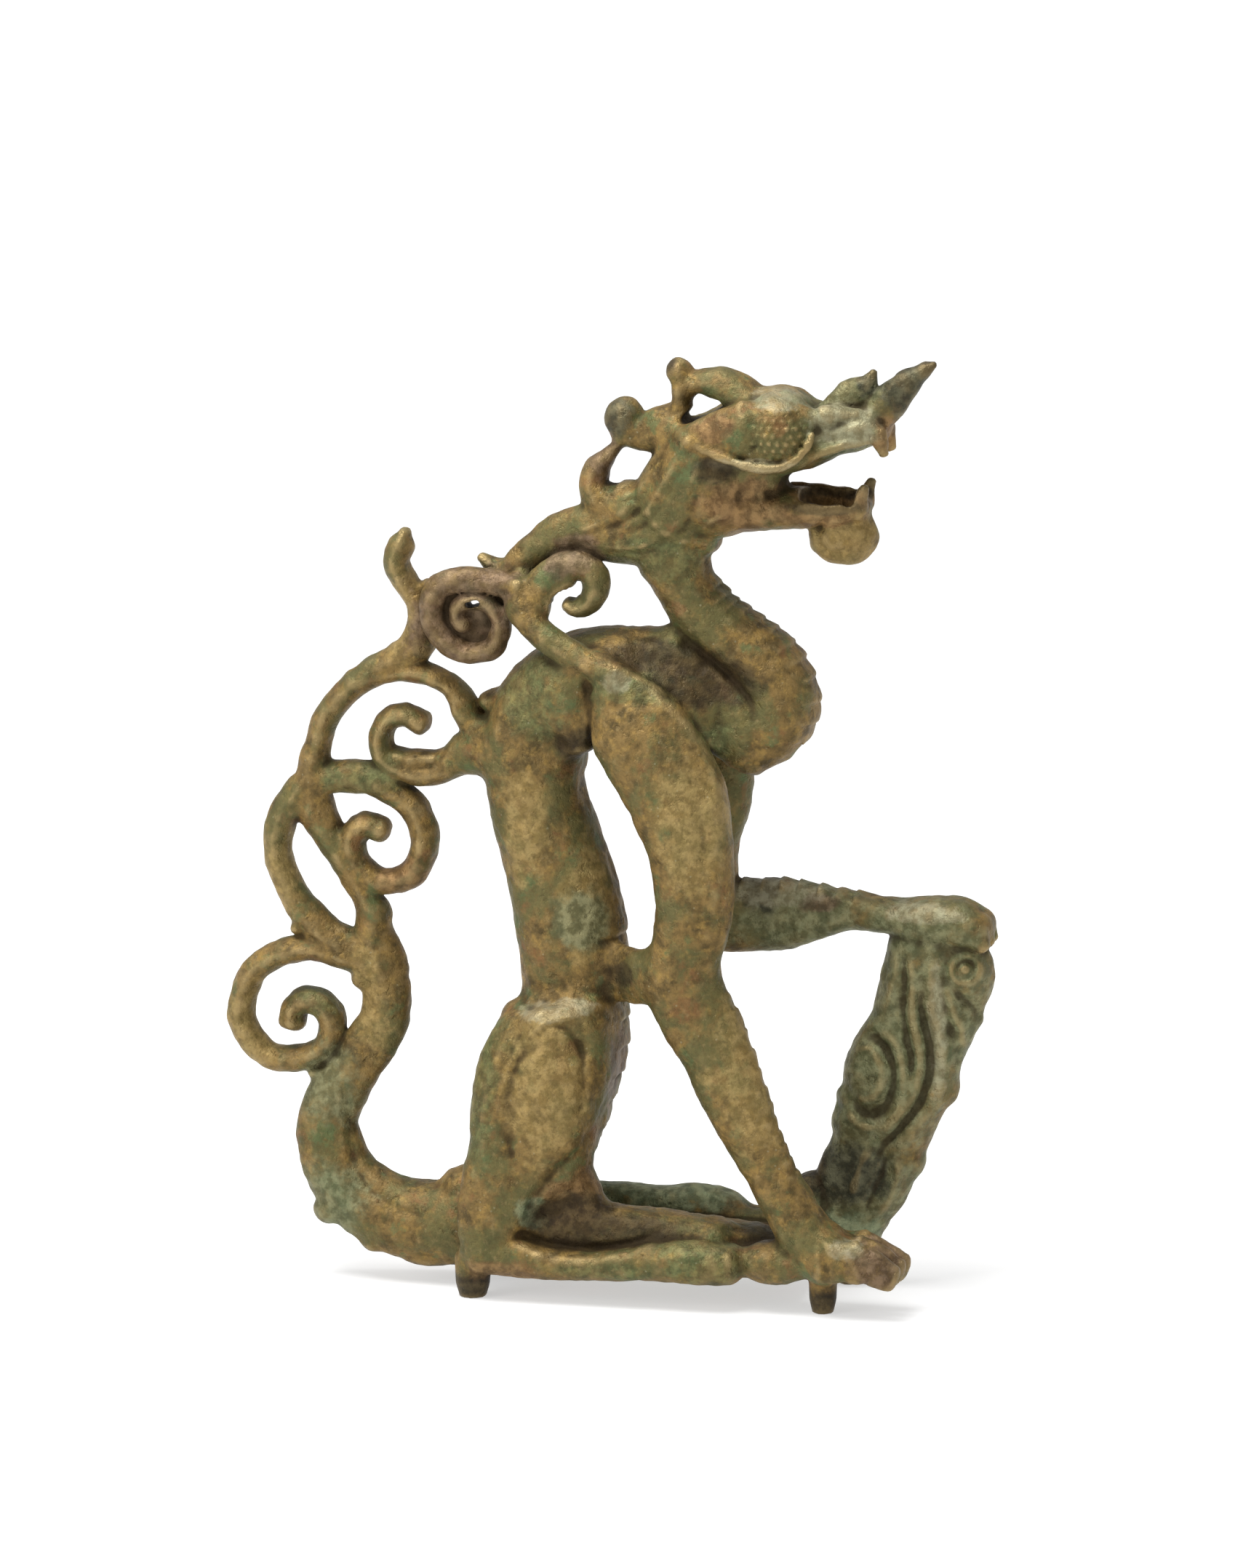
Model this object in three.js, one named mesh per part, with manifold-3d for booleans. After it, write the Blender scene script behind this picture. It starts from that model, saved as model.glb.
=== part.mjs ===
// A seated bronze dragon, cast in one piece, looking towards +X with its right side towards -Y.
// Millimetres, +Z up. It stands on four short pegs whose undersides are the plane Z = 0.

import * as THREE from "three";
import { mergeVertices } from "three/addons/utils/BufferGeometryUtils.js";
import Module from "manifold-3d";

const wasm = await Module();
wasm.setup();

// Driving sizes
const FOOT_SIDE = 14; // from the middle plane to the middle of each foot
const PEG_HEIGHT = 8; // of which the feet swallow the upper part
const REAR_PEG = { x: -26.5, radius: 3 };
const FRONT_PEG = { x: 48, radius: 2.6 };
const OPENWORK_WIDE = 4; // half the width of the tail and its scrolls, across the figure
const SCROLL_HALF = 2.9; // half the height of a scroll's band
const TIP_HALF = 2.2; // the same at the end of a scroll
const RIM = 1.1; // radius of the raised lines on the cloud and of the eyelids
const PLATE_DEPTH = 0.9; // how far each belly plate stands out
const EYE = { middle: [34, 6.5, 183.9], half: [10.2, 6.2, 7.7] };
const FANG_SIDE = 4; // from the middle plane to each fang
const TOE_SPREAD = 5; // between the middles of neighbouring toes

const CAP_TURN = 50; // degrees from a limb's end to the edge of its blunt tip
const CAP_LENGTH = 0.8; // of the limb's smaller half size
const SIDES = 9; // of a limb's skin
const BAND_SIDES = 6; // of a scroll's band
const SLIM_SIDES = 4; // of raised lines and fangs
const SCROLL_STEP = 45; // degrees between a scroll's named radii
const SCROLL_RINGS = 1.3; // loops of skin for each of those radii
const PEG_TAPER = 0.82; // radius at the underside over the radius at the top
const SQUARENESS = 2.3; // 2 gives an elliptical limb and more a squarer one
const WELD = 0.4; // detail finer than this is left out of the casting

const BRONZE = new THREE.MeshStandardMaterial({ color: 0x77683f, roughness: 0.62, metalness: 0.55 });

const radians = THREE.MathUtils.degToRad;

function power(value, exponent) {
  return Math.sign(value) * Math.abs(value) ** exponent;
}

function solidOf(geometry) {
  geometry.deleteAttribute("normal");
  geometry.deleteAttribute("uv");
  const merged = mergeVertices(geometry, 1e-4);
  const vertProperties = new Float32Array(merged.attributes.position.array);
  const triVerts = new Uint32Array(merged.index.array);
  const mesh = new wasm.Mesh({ numProp: 3, vertProperties, triVerts });
  return new wasm.Manifold(mesh);
}

// Where a limb's rings stand along it: evenly, but closer where plates follow each other
function ringPlaces(rings, plates) {
  const even = Array.from({ length: rings + 1 }, (_, ring) => ({ t: ring / rings, bulge: 0 }));
  if (!plates) {
    return even;
  }
  const { from, to, count } = plates;
  const plated = Array.from({ length: 2 * count + 1 }, (_, edge) => ({
    t: from + ((to - from) * edge) / (2 * count),
    bulge: edge % 2 === 1 ? PLATE_DEPTH : 0,
  }));
  const outside = even.filter(({ t }) => t < from - 0.01 || t > to + 0.01);
  return [...outside, ...plated].sort((one, other) => one.t - other.t);
}

// A limb is a row of stations [x, y, z, half height in the profile, half width across the figure],
// with an oval skin over them and a blunt end at each side. Its plates are ridges along one edge:
// edge 1 is the front of a limb that runs upward, and edge -1 the front of one that runs downward.
function limb(stations, { sides = SIDES, rings = stations.length, plates = null } = {}) {
  const path = new THREE.CatmullRomCurve3(stations.map(([x, y, z]) => new THREE.Vector3(x, y, z)));
  const halves = stations.map(([, , , high, wide]) => new THREE.Vector3(high, wide, 0));
  const sizes = new THREE.CatmullRomCurve3(halves);
  const frameAt = (t) => {
    const along = path.getTangent(t);
    const across = new THREE.Vector3(0, 1, 0).addScaledVector(along, -along.y).normalize();
    const out = new THREE.Vector3().crossVectors(across, along);
    const size = sizes.getPoint(t);
    return { centre: path.getPoint(t), along, across, out, high: size.x, wide: size.y };
  };
  const platedEdge = plates?.edge ?? 1;
  const loops = [];
  const addLoop = (frame, scale, shift, bulge) => {
    const centre = frame.centre.clone().addScaledVector(frame.along, shift);
    const loop = [];
    for (let side = 0; side < sides; side += 1) {
      const angle = (2 * Math.PI * side) / sides;
      const high = power(Math.cos(angle), 2 / SQUARENESS);
      const wide = power(Math.sin(angle), 2 / SQUARENESS);
      const reach = frame.high * scale + bulge * Math.max(0, platedEdge * Math.cos(angle)) ** 2;
      loop.push(centre.clone().addScaledVector(frame.out, high * reach)
        .addScaledVector(frame.across, wide * frame.wide * scale));
    }
    loops.push(loop);
  };
  const first = frameAt(0);
  const last = frameAt(1);
  const blunt = (frame) => Math.min(frame.high, frame.wide) * CAP_LENGTH;
  const tipScale = Math.cos(radians(CAP_TURN));
  const tipShift = Math.sin(radians(CAP_TURN));
  addLoop(first, tipScale, -blunt(first) * tipShift, 0);
  for (const { t, bulge } of ringPlaces(rings, plates)) {
    addLoop(frameAt(t), 1, 0, bulge);
  }
  addLoop(last, tipScale, blunt(last) * tipShift, 0);
  const start = first.centre.clone().addScaledVector(first.along, -blunt(first));
  const end = last.centre.clone().addScaledVector(last.along, blunt(last));
  return skin(loops, start, end);
}

// Closes a row of loops with a point at each end
function skin(loops, start, end) {
  const sides = loops[0].length;
  const points = [start, ...loops.flat(), end];
  const index = [];
  const corner = (loop, side) => 1 + loop * sides + (side % sides);
  for (let side = 0; side < sides; side += 1) {
    index.push(0, corner(0, side + 1), corner(0, side));
    for (let loop = 0; loop + 1 < loops.length; loop += 1) {
      index.push(corner(loop, side), corner(loop, side + 1), corner(loop + 1, side));
      index.push(corner(loop, side + 1), corner(loop + 1, side + 1), corner(loop + 1, side));
    }
    const top = loops.length - 1;
    index.push(corner(top, side), corner(top, side + 1), points.length - 1);
  }
  const geometry = new THREE.BufferGeometry();
  geometry.setAttribute("position", new THREE.Float32BufferAttribute(points.flatMap((p) => p.toArray()), 3));
  geometry.setIndex(index);
  return solidOf(geometry);
}

function ball({ at: [x, y, z], half: [halfX, halfY, halfZ] }, segments = 8) {
  const geometry = new THREE.SphereGeometry(1, segments, Math.ceil(segments * 0.7));
  geometry.rotateX(Math.PI / 2);
  geometry.scale(halfX, halfY, halfZ);
  geometry.translate(x, y, z);
  return solidOf(geometry);
}

// A scroll winds round its middle with a new radius every SCROLL_STEP; turn is 1 against the clock
function scroll({
  middle: [x, y, z],
  from,
  turn,
  radii,
  half = SCROLL_HALF,
  tip = TIP_HALF,
  wide = OPENWORK_WIDE,
  sides = BAND_SIDES,
}) {
  const stations = radii.map((radius, step) => {
    const angle = radians(from + turn * SCROLL_STEP * step);
    const thinning = step / (radii.length - 1);
    const high = THREE.MathUtils.lerp(half, tip, thinning);
    return [x + radius * Math.cos(angle), y, z + radius * Math.sin(angle), high, wide];
  });
  return limb(stations, { sides, rings: Math.ceil(radii.length * SCROLL_RINGS) });
}

function mirrored(stations) {
  return stations.map(([x, y, z, high, wide]) => [x, -y, z, high, wide]);
}

function peg({ x, radius }, side) {
  const geometry = new THREE.CylinderGeometry(radius, radius * PEG_TAPER, PEG_HEIGHT, 12);
  geometry.rotateX(Math.PI / 2);
  geometry.translate(x, side * FOOT_SIDE, PEG_HEIGHT / 2);
  return solidOf(geometry);
}

// The body rises from the rump, arches over behind the shoulder and runs down into the chest
const BODY = [
  [-13.5, 0, 19, 9, 9],
  [-12.4, 0, 30.5, 10, 10],
  [-9.8, 0, 41, 10.9, 10.5],
  [-8.6, 0, 53.5, 11.4, 11],
  [-8.6, 0, 66, 11.3, 11],
  [-10, 0, 80, 11.4, 11],
  [-12.6, 0, 93.5, 11.4, 11],
  [-15.4, 0, 104.5, 11.1, 11],
  [-16.6, 0, 114, 11.4, 11],
  [-15.2, 0, 122.3, 10, 11],
  [-9, 0, 129.4, 9.2, 11],
  [1, 0, 131.6, 9, 11],
  [13, 0, 129.8, 9, 11],
  [22, 0, 124, 8.4, 11],
  [30.5, 0, 119.5, 7.6, 10.5],
];

const NECK = [
  [30, 0, 117.5, 6.5, 9.5],
  [35.8, 0, 121.5, 7.8, 9.8],
  [36.2, 0, 127.5, 7.8, 9],
  [33.2, 0, 133.5, 7.6, 8.6],
  [27.3, 0, 138.8, 7.3, 8],
  [21, 0, 143.7, 7, 7.5],
  [15.8, 0, 150, 6.8, 7.3],
  [13, 0, 156.5, 7.2, 7.5],
];

const NEAR_SHOULDER = [
  [2.5, -10, 129.5, 5.5, 4.2],
  [8.5, -12, 121, 10.5, 6],
  [16.3, -13, 106.5, 10.6, 6.6],
  [20, -13.5, 94, 8.8, 6.5],
  [20.6, -13.5, 83.5, 7.8, 6.2],
  [19.2, -13.5, 74, 7.4, 6],
];

const NEAR_FORELEG = [
  [19, -13.5, 76, 6.6, 6],
  [20, -13.5, 66, 8.7, 6],
  [23.8, -13.5, 56, 8.1, 5.8],
  [28.4, -13.8, 45.5, 7.2, 5.4],
  [32.5, -14, 37, 6, 5],
  [36.6, -14, 29.4, 5.3, 5],
  [41, -14, 22, 5.3, 5.4],
  [45, -14, 15.5, 5.7, 6.4],
  [49.5, -14, 12, 6.2, 8],
];

const ELBOW = [
  [14, -13, 70.5, 5.6, 4.5],
  [7, -11.5, 70, 4.8, 4],
  [1.5, -9, 69.6, 4.6, 3.4],
];

const FAR_SHOULDER = [
  [7, 9, 124, 6.5, 4.5],
  [12.5, 11, 118.5, 8, 6],
  [18.3, 12, 107, 7.8, 6.5],
  [17.8, 12, 94, 7.2, 6.2],
  [17.4, 12, 81, 6.4, 6],
];

const FAR_FOREARM = [
  [17, 12, 77.5, 6.4, 6],
  [24, 12.5, 77.5, 7, 6],
  [33.3, 13, 78, 6.9, 6],
  [41.8, 13, 79.2, 5.2, 5.4],
  [49.6, 13, 79.4, 4, 5],
  [56.6, 13, 78.8, 4, 5.6],
  [64, 13, 78.2, 4.6, 7.6],
  [71, 13, 77.7, 4.8, 8],
  [75, 13, 76.5, 4, 7],
];

const NEAR_THIGH = [
  [-11, -8, 60, 5.4, 4.4],
  [-13.8, -11, 54, 10, 5.8],
  [-15.4, -12.5, 43, 12.2, 7],
  [-16.6, -13, 33.5, 12, 7],
  [-19.6, -13.5, 25, 9.8, 6.5],
  [-22.2, -14, 17.5, 7.4, 6],
  [-23.4, -14, 10.8, 6, 6],
];

const NEAR_HIND_FOOT = [
  [-24, -14, 10, 5, 6],
  [-12.5, -14.5, 8.6, 3.9, 5.6],
  [0, -15, 8.2, 3.6, 5.6],
  [11, -15, 9, 4.3, 5.8],
  [20, -15, 9.6, 5, 6.5],
  [28, -15, 9.2, 4.3, 6],
];

const FAR_HIND_FOOT = [
  [-23, 14, 11, 5.6, 6],
  [-9.5, 14, 12.3, 5.8, 5.6],
  [6, 14, 13.4, 5.8, 5.8],
  [21.5, 14, 13.6, 5.8, 5.8],
  [31, 14, 13, 5.8, 6],
  [40, 14, 12.5, 6.2, 6.5],
  [50, 14, 12, 6, 6.5],
];

const SOLE_WEB = [
  [-20, 0, 10, 4.6, 13],
  [10, 0, 9.6, 4.6, 13],
  [38, 0, 9.4, 4.6, 14],
];

const TAIL_ROOT = [
  [-20, 0, 14.4, 10, 10],
  [-28, 0, 13, 9.8, 9],
  [-37.5, 0, 12.4, 9.2, 8],
  [-47.8, 0, 14.4, 9, 7],
  [-56.2, 0, 18.8, 8.2, 5.6],
  [-59.8, 0, 25.8, 7, 4.8],
  [-60.5, 0, 33, 6.3, 4.3],
  [-57.9, 0, 40.7, 6.3, OPENWORK_WIDE],
  [-52.9, 0, 48, 5.7, OPENWORK_WIDE],
  [-49, 0, 55, 5.2, OPENWORK_WIDE],
  [-48, 0, 61.2, 4.9, OPENWORK_WIDE],
  [-49.3, 0, 67.3, 4.9, OPENWORK_WIDE],
  [-51.3, 0, 73.4, 4.8, OPENWORK_WIDE],
  [-52.8, 0, 78.7, 4, OPENWORK_WIDE],
];

const TAIL_STEM = [
  [-51, 0, 77.5, 3.8, OPENWORK_WIDE],
  [-55.7, 0, 86, 2.9, OPENWORK_WIDE],
  [-60.8, 0, 93.2, 3, OPENWORK_WIDE],
  [-63.8, 0, 100, 4, OPENWORK_WIDE],
  [-64, 0, 107, 3.8, OPENWORK_WIDE],
  [-62.6, 0, 113, 3.2, OPENWORK_WIDE],
  [-60.3, 0, 118.5, 3.1, OPENWORK_WIDE],
  [-56.6, 0, 123, 3.2, OPENWORK_WIDE],
  [-51.2, 0, 128, 3.2, OPENWORK_WIDE],
  [-45.7, 0, 131.6, 3.2, OPENWORK_WIDE],
  [-41.4, 0, 135, 3.3, OPENWORK_WIDE],
  [-40.4, 0, 139.5, 3, OPENWORK_WIDE],
  [-41, 0, 144.5, 3, OPENWORK_WIDE],
  [-43.6, 0, 148.3, 3.1, OPENWORK_WIDE],
  [-45.6, 0, 152.4, 2.9, OPENWORK_WIDE],
  [-45, 0, 156.7, 2.5, 3.4],
  [-44, 0, 159, 1.2, 2.6],
];

const TAIL_SIDE_STEM = [
  [-64.8, 0, 102.4, 3.6, OPENWORK_WIDE],
  [-70.2, 0, 97, 3.3, OPENWORK_WIDE],
  [-71.5, 0, 91, 3, OPENWORK_WIDE],
  [-69.6, 0, 84.3, 3.3, OPENWORK_WIDE],
  [-66.1, 0, 77.8, 3.8, OPENWORK_WIDE],
  [-60.4, 0, 72.4, 4, OPENWORK_WIDE],
  [-53, 0, 70.4, 4.2, OPENWORK_WIDE],
];

const TAIL_CROSSBAR = [
  [-63.8, 0, 106.2, 3.2, OPENWORK_WIDE],
  [-54.5, 0, 106.5, 3.2, OPENWORK_WIDE],
  [-47, 0, 106.2, 3.8, OPENWORK_WIDE],
];

const TAIL_TO_BACK = [
  [-36.5, 0, 110, 4.2, OPENWORK_WIDE],
  [-29, 0, 112.5, 6, 6],
  [-20, 0, 114.5, 7, 9],
];

const ARCH_TO_BACK = [
  [-35, 0, 125.5, 3, OPENWORK_WIDE],
  [-30, 0, 119.5, 4.6, 5],
  [-24, 0, 115, 6, 8],
];

const UPPER_SCROLL = {
  middle: [-43.4, 0, 115.7],
  from: 135,
  turn: -1,
  radii: [14.7, 13.9, 13.4, 13, 10.4, 7.6, 6.5, 5.4, 4.8, 3.7, 4.2],
};

const MIDDLE_SCROLL = {
  middle: [-49.1, 0, 93.6],
  from: 90,
  turn: -1,
  radii: [11.8, 10.6, 9.2, 9.8, 9.6, 8, 6.4, 4.2, 2.2],
};

const LOWER_SCROLL = {
  middle: [-65.4, 0, 54.3],
  from: 45,
  turn: 1,
  radii: [18.5, 15, 14.7, 13.5, 11.2, 8.5, 7.1, 5.5, 4.8, 4.3, 4.2, 3.9],
};

// The ribbon leaves the near shoulder and forks into two scrolls that touch the tail and the mane
const RIBBON = [
  [6, -11.5, 130.5, 3.4, 3.2],
  [-3, -11, 134.6, 3.3, 3.2],
  [-9, -10, 137.3, 3.2, 3.2],
  [-13.7, -8.5, 140.6, 3.2, 3.2],
  [-17, -7, 144.8, 3.8, 3.2],
  [-18, -5.5, 149, 3.6, 3.2],
];

const RIBBON_TO_MANE = [
  [-19, -4, 150, 2.4, 4],
  [-17, 0, 153, 2.4, 4],
];

const RIBBON_TO_TAIL = [
  [-35.6, -3, 143, 2.2, 3],
  [-40, -0.5, 143, 2.2, 3],
];

const RIBBON_LEFT = {
  middle: [-29.4, -4.5, 141.6],
  from: 45,
  turn: 1,
  radii: [10.8, 9, 8.6, 7.4, 7.2, 7.4, 7, 5.8, 4.2, 3.2, 2.4],
  half: 2.9,
  tip: 1.8,
  wide: 3,
};

const RIBBON_EYE = { at: RIBBON_LEFT.middle, half: [5.6, 1.6, 5.4] };
const RIBBON_KNOB = { at: [-30.8, -5, 140.8], half: [2, 2.8, 2] };

const RIBBON_RIGHT = [
  [-16.4, -7, 145, 2.8, 3],
  [-13.9, -6, 149.7, 3.2, 3],
  [-10.6, -5.5, 152.9, 3.3, 3],
  [-6.7, -5, 154.3, 3.1, 3],
  [-3.4, -5, 152.8, 2.8, 3],
  [-2.4, -5, 149.6, 2.8, 3],
  [-3.8, -5, 146.5, 2.5, 3],
  [-6.3, -5, 145.1, 2.2, 3],
  [-8, -5, 145.5, 1.5, 2.6],
];

const MANE = [
  [8, 0, 160.6, 7.8, 8],
  [0, 0, 160.7, 7, 6.4],
  [-6.5, 0, 160.5, 5.5, 5],
  [-11.2, 0, 159.3, 4.8, 4.6],
  [-15, 0, 156.9, 4.1, 4.2],
  [-18.6, 0, 154.2, 3.6, 4],
  [-21.8, 0, 152.2, 2.7, 3.5],
  [-24.8, 0, 152, 1.8, 2.8],
  [-27.6, 0, 154, 0.8, 1.6],
];

const NAPE_LOCK = [
  [2.2, 0, 179.4, 1, 2.4],
  [-0.6, 0, 177, 1.8, 3],
  [-3, 0, 173.8, 2.8, 3.6],
  [-3.6, 0, 169.6, 3.2, 4.4],
  [-1.2, 0, 165.6, 4.4, 5.4],
  [4, 0, 163.6, 5.8, 7],
];

const CREST_STEM = [
  [14.6, 0, 194.5, 2, 3.2],
  [14.8, 0, 190, 2, 3.6],
  [14.4, 0, 185, 3, 4.6],
  [14.6, 0, 179, 4.8, 7],
];

const CREST_ARCH = [
  [15, 0, 191.4, 2.4, 3.2],
  [18.6, 0, 193, 2.8, 3.8],
  [22.9, 0, 192.5, 3.6, 4.6],
  [27.3, 0, 190.4, 4.3, 5.6],
  [31.5, 0, 187.6, 4.4, 7],
];

const EAR_CURL = [
  [2.8, 0, 182, 3.3, 3.8],
  [7.4, 0, 182.1, 3, 4],
  [11.3, 0, 182, 4.1, 5.4],
  [17, 0, 181, 5, 7],
];

const SKULL = [
  [13.2, 0, 155, 7.3, 7.5],
  [13.2, 0, 161.7, 8.8, 9],
  [15, 0, 168.7, 10, 10.5],
  [19.6, 0, 175, 9.8, 11.3],
  [27.2, 0, 179.4, 8.8, 11],
  [34.5, 0, 181.6, 7.2, 10],
];

const SNOUT = [
  [36.5, 0, 182, 6.8, 9],
  [42.3, 0, 182.7, 6.2, 8.4],
  [47.7, 0, 183.7, 5.3, 7.5],
  [53, 0, 184.3, 4.6, 6.8],
  [56.8, 0, 184.8, 3.8, 5.8],
];

const NOSE_LEAF = [
  [45.5, 0, 188.3, 1.8, 2.6],
  [50.8, 0, 191, 3.6, 3],
  [54.6, 0, 193.6, 2.8, 2.4],
  [56, 0, 196.2, 0.8, 1.2],
];

const NOSE_SPIKE = [
  [55.8, 0, 185.5, 4.2, 4.6],
  [59.7, 0, 190.6, 3.8, 4],
  [63.4, 0, 194.7, 2.7, 3],
  [66.4, 0, 197.1, 1.6, 2],
  [68.5, 0, 198.3, 0.7, 1],
];

const JAW = [
  [22, 0, 168, 7, 9],
  [30, 0, 167.5, 5, 8.5],
  [37, 0, 167.4, 3.9, 8],
  [43, 0, 167.5, 3.6, 7.6],
  [49, 0, 167.5, 3.5, 7],
  [53.3, 0, 167.3, 3, 5.4],
];

// The lower jaw is an open trough behind its lip
const JAW_TROUGH = [
  [38.5, 0, 171.6, 1.8, 4.6],
  [44, 0, 171, 2.6, 4.8],
  [50.2, 0, 170.6, 2.2, 3.8],
];

const MOUTH_CORNER = [
  [26, 0, 172.5, 6, 9],
  [33.8, 0, 173, 3.4, 8.2],
];

const UPPER_FANG = [
  [58.4, -FANG_SIDE, 184, 2.6, 2],
  [59.2, -FANG_SIDE, 180.6, 1.2, 1],
];

const LOWER_FANG = [
  [53.2, -FANG_SIDE, 168, 2.2, 1.6],
  [54.6, -FANG_SIDE, 172, 0.9, 0.8],
];

const EYELID = [
  [18.5, -10.2, 180.5],
  [22.5, -11.6, 178.6],
  [28, -12.4, 176.4],
  [34, -12.4, 175.8],
  [38.6, -11.8, 177],
  [41.6, -10.6, 179.6],
  [43, -9, 183],
].map((point) => [...point, RIM, RIM]);

const CHEEK = { at: [22, 0, 169], half: [9.4, 10.6, 9.2] };
const CREST_KNOB = { at: [14.3, 0, 195.2], half: [2.7, 3.6, 2.7] };
const EAR_KNOB = { at: [2.7, 0, 184.9], half: [4.3, 4.4, 4.4] };
const CHIN_BEARD = { at: [49.6, 0, 161.2], half: [7.2, 6, 6.4] };

const NEAR_TOE = [
  [49, -FOOT_SIDE, 12, 4.6, 3],
  [57, -FOOT_SIDE - 0.5, 11.2, 4.8, 2.8],
  [63.2, -FOOT_SIDE - 0.5, 8.8, 2.8, 1.8],
];

const RAISED_TOE = [
  [70, 13, 78.6, 3, 2.6],
  [75.2, 13, 77.8, 2.6, 2.2],
  [77.4, 13, 74.4, 1.5, 1.4],
];

// The cloud carries the raised paw and stands on the far hind foot
const CLOUD = [
  [66.6, 13, 73, 10.2, 6.5],
  [66, 13, 65, 11.4, 7],
  [64.4, 13, 55.5, 12, 7.2],
  [59.6, 13, 46.8, 12.2, 7.5],
  [57.4, 13, 39, 11.6, 7.5],
  [54.4, 13, 30.4, 10.6, 7],
  [51.2, 13.5, 22.5, 10.2, 6.5],
  [48.8, 14, 16.5, 8.4, 6],
];

const CLOUD_RIDGE = [
  [65.4, 5.8, 71],
  [66, 5.4, 64],
  [67, 5, 56],
  [67.4, 5.2, 49],
  [63.5, 5.2, 41],
  [57.5, 5.6, 33],
  [52, 6.4, 25],
].map((point) => [...point, RIM * 1.3, RIM]);

const CLOUD_LOBES = [
  { at: [71.4, 13, 67.5], half: [7.6, 6.6, 8.6] },
  { at: [67.4, 13, 52.5], half: [8.6, 6.4, 8.4] },
  { at: [53.8, 13, 46.5], half: [8.4, 8, 10] },
  { at: [51, 13, 35], half: [6.6, 7, 7] },
  { at: [60.6, 13, 29], half: [5.6, 5.6, 6] },
];

const CLOUD_SPIRALS = [
  { middle: [73, 6.6, 68], from: 120, turn: -1, radii: [5.6, 5.4, 5.2, 4.8, 4.4, 3.8, 3.2, 2.6, 2, 1.4] },
  { middle: [53.4, 5.4, 46.5], from: 90, turn: 1, radii: [7, 6.8, 6.6, 6.2, 5.8, 5, 4.2, 3.4, 2.6, 1.8] },
].map((spiral) => ({ ...spiral, half: RIM, tip: RIM, wide: RIM * 1.4, sides: SLIM_SIDES }));

function eye(side) {
  const [x, y, z] = EYE.middle;
  return ball({ at: [x, side * y, z], half: EYE.half }, 10);
}

function head() {
  const eyes = [-1, 1].map(eye);
  const pairs = [UPPER_FANG, LOWER_FANG, EYELID].flatMap((one) => [one, mirrored(one)]);
  return [
    limb(SKULL, { rings: 7 }),
    limb(SNOUT, { sides: 7, rings: 5 }),
    limb(JAW, { sides: 7, rings: 6 }).subtract(limb(JAW_TROUGH, { sides: 7, rings: 3 })),
    limb(MOUTH_CORNER, { sides: 7, rings: 1 }),
    limb(MANE, { sides: BAND_SIDES, rings: 9 }),
    limb(NAPE_LOCK, { sides: BAND_SIDES, rings: 7 }),
    limb(CREST_STEM, { sides: BAND_SIDES, rings: 4 }),
    limb(CREST_ARCH, { sides: BAND_SIDES, rings: 5 }),
    limb(EAR_CURL, { sides: BAND_SIDES, rings: 4 }),
    limb(NOSE_LEAF, { sides: BAND_SIDES, rings: 4 }),
    limb(NOSE_SPIKE, { sides: BAND_SIDES, rings: 5 }),
    ...pairs.map((stations) => limb(stations, { sides: SLIM_SIDES, rings: stations.length - 1 })),
    ...eyes,
    ball(CHEEK),
    ball(CREST_KNOB),
    ball(EAR_KNOB, 10),
    ball(CHIN_BEARD, 10),
  ];
}

function body() {
  return [
    limb(BODY, { rings: 16, plates: { from: 0.04, to: 0.4, count: 8 } }),
    limb(NECK, { rings: 10, plates: { from: 0.12, to: 0.78, count: 8 } }),
    limb(NEAR_THIGH, { rings: 8 }),
    limb(mirrored(NEAR_THIGH), { sides: 7, rings: 6 }),
    limb(SOLE_WEB, { sides: 7, rings: 2 }),
  ];
}

function legs() {
  const aside = (toe, place) => toe.map(([x, y, ...rest]) => [x, y + place * TOE_SPREAD, ...rest]);
  const toes = [NEAR_TOE, RAISED_TOE].flatMap((toe) => [-1, 0, 1].map((place) => aside(toe, place)));
  return [
    limb(NEAR_SHOULDER, { rings: 8 }),
    limb(NEAR_FORELEG, { rings: 12, plates: { from: 0.14, to: 0.6, count: 6, edge: -1 } }),
    limb(ELBOW, { sides: 7, rings: 2 }),
    limb(FAR_SHOULDER, { sides: 7, rings: 6 }),
    limb(FAR_FOREARM, { sides: 7, rings: 10, plates: { from: 0.05, to: 0.5, count: 4, edge: -1 } }),
    limb(NEAR_HIND_FOOT, { sides: 7, rings: 7 }),
    limb(FAR_HIND_FOOT, { sides: 7, rings: 6 }),
    ...toes.map((stations) => limb(stations, { sides: 5, rings: 2 })),
    ...[-1, 1].flatMap((side) => [peg(REAR_PEG, side), peg(FRONT_PEG, side)]),
  ];
}

function tail() {
  return [
    limb(TAIL_ROOT, { sides: 7, rings: 13 }),
    limb(TAIL_STEM, { sides: BAND_SIDES, rings: 19 }),
    limb(TAIL_SIDE_STEM, { sides: BAND_SIDES, rings: 9 }),
    limb(TAIL_CROSSBAR, { sides: BAND_SIDES, rings: 2 }),
    limb(TAIL_TO_BACK, { sides: BAND_SIDES, rings: 2 }),
    limb(ARCH_TO_BACK, { sides: BAND_SIDES, rings: 2 }),
    ...[UPPER_SCROLL, MIDDLE_SCROLL, LOWER_SCROLL].map(scroll),
  ];
}

function ribbon() {
  return [
    limb(RIBBON, { sides: BAND_SIDES, rings: 7 }),
    limb(RIBBON_RIGHT, { sides: BAND_SIDES, rings: 11 }),
    scroll(RIBBON_LEFT),
    ball(RIBBON_EYE),
    ball(RIBBON_KNOB),
    limb(RIBBON_TO_MANE, { sides: BAND_SIDES, rings: 1 }),
    limb(RIBBON_TO_TAIL, { sides: BAND_SIDES, rings: 1 }),
  ];
}

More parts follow.
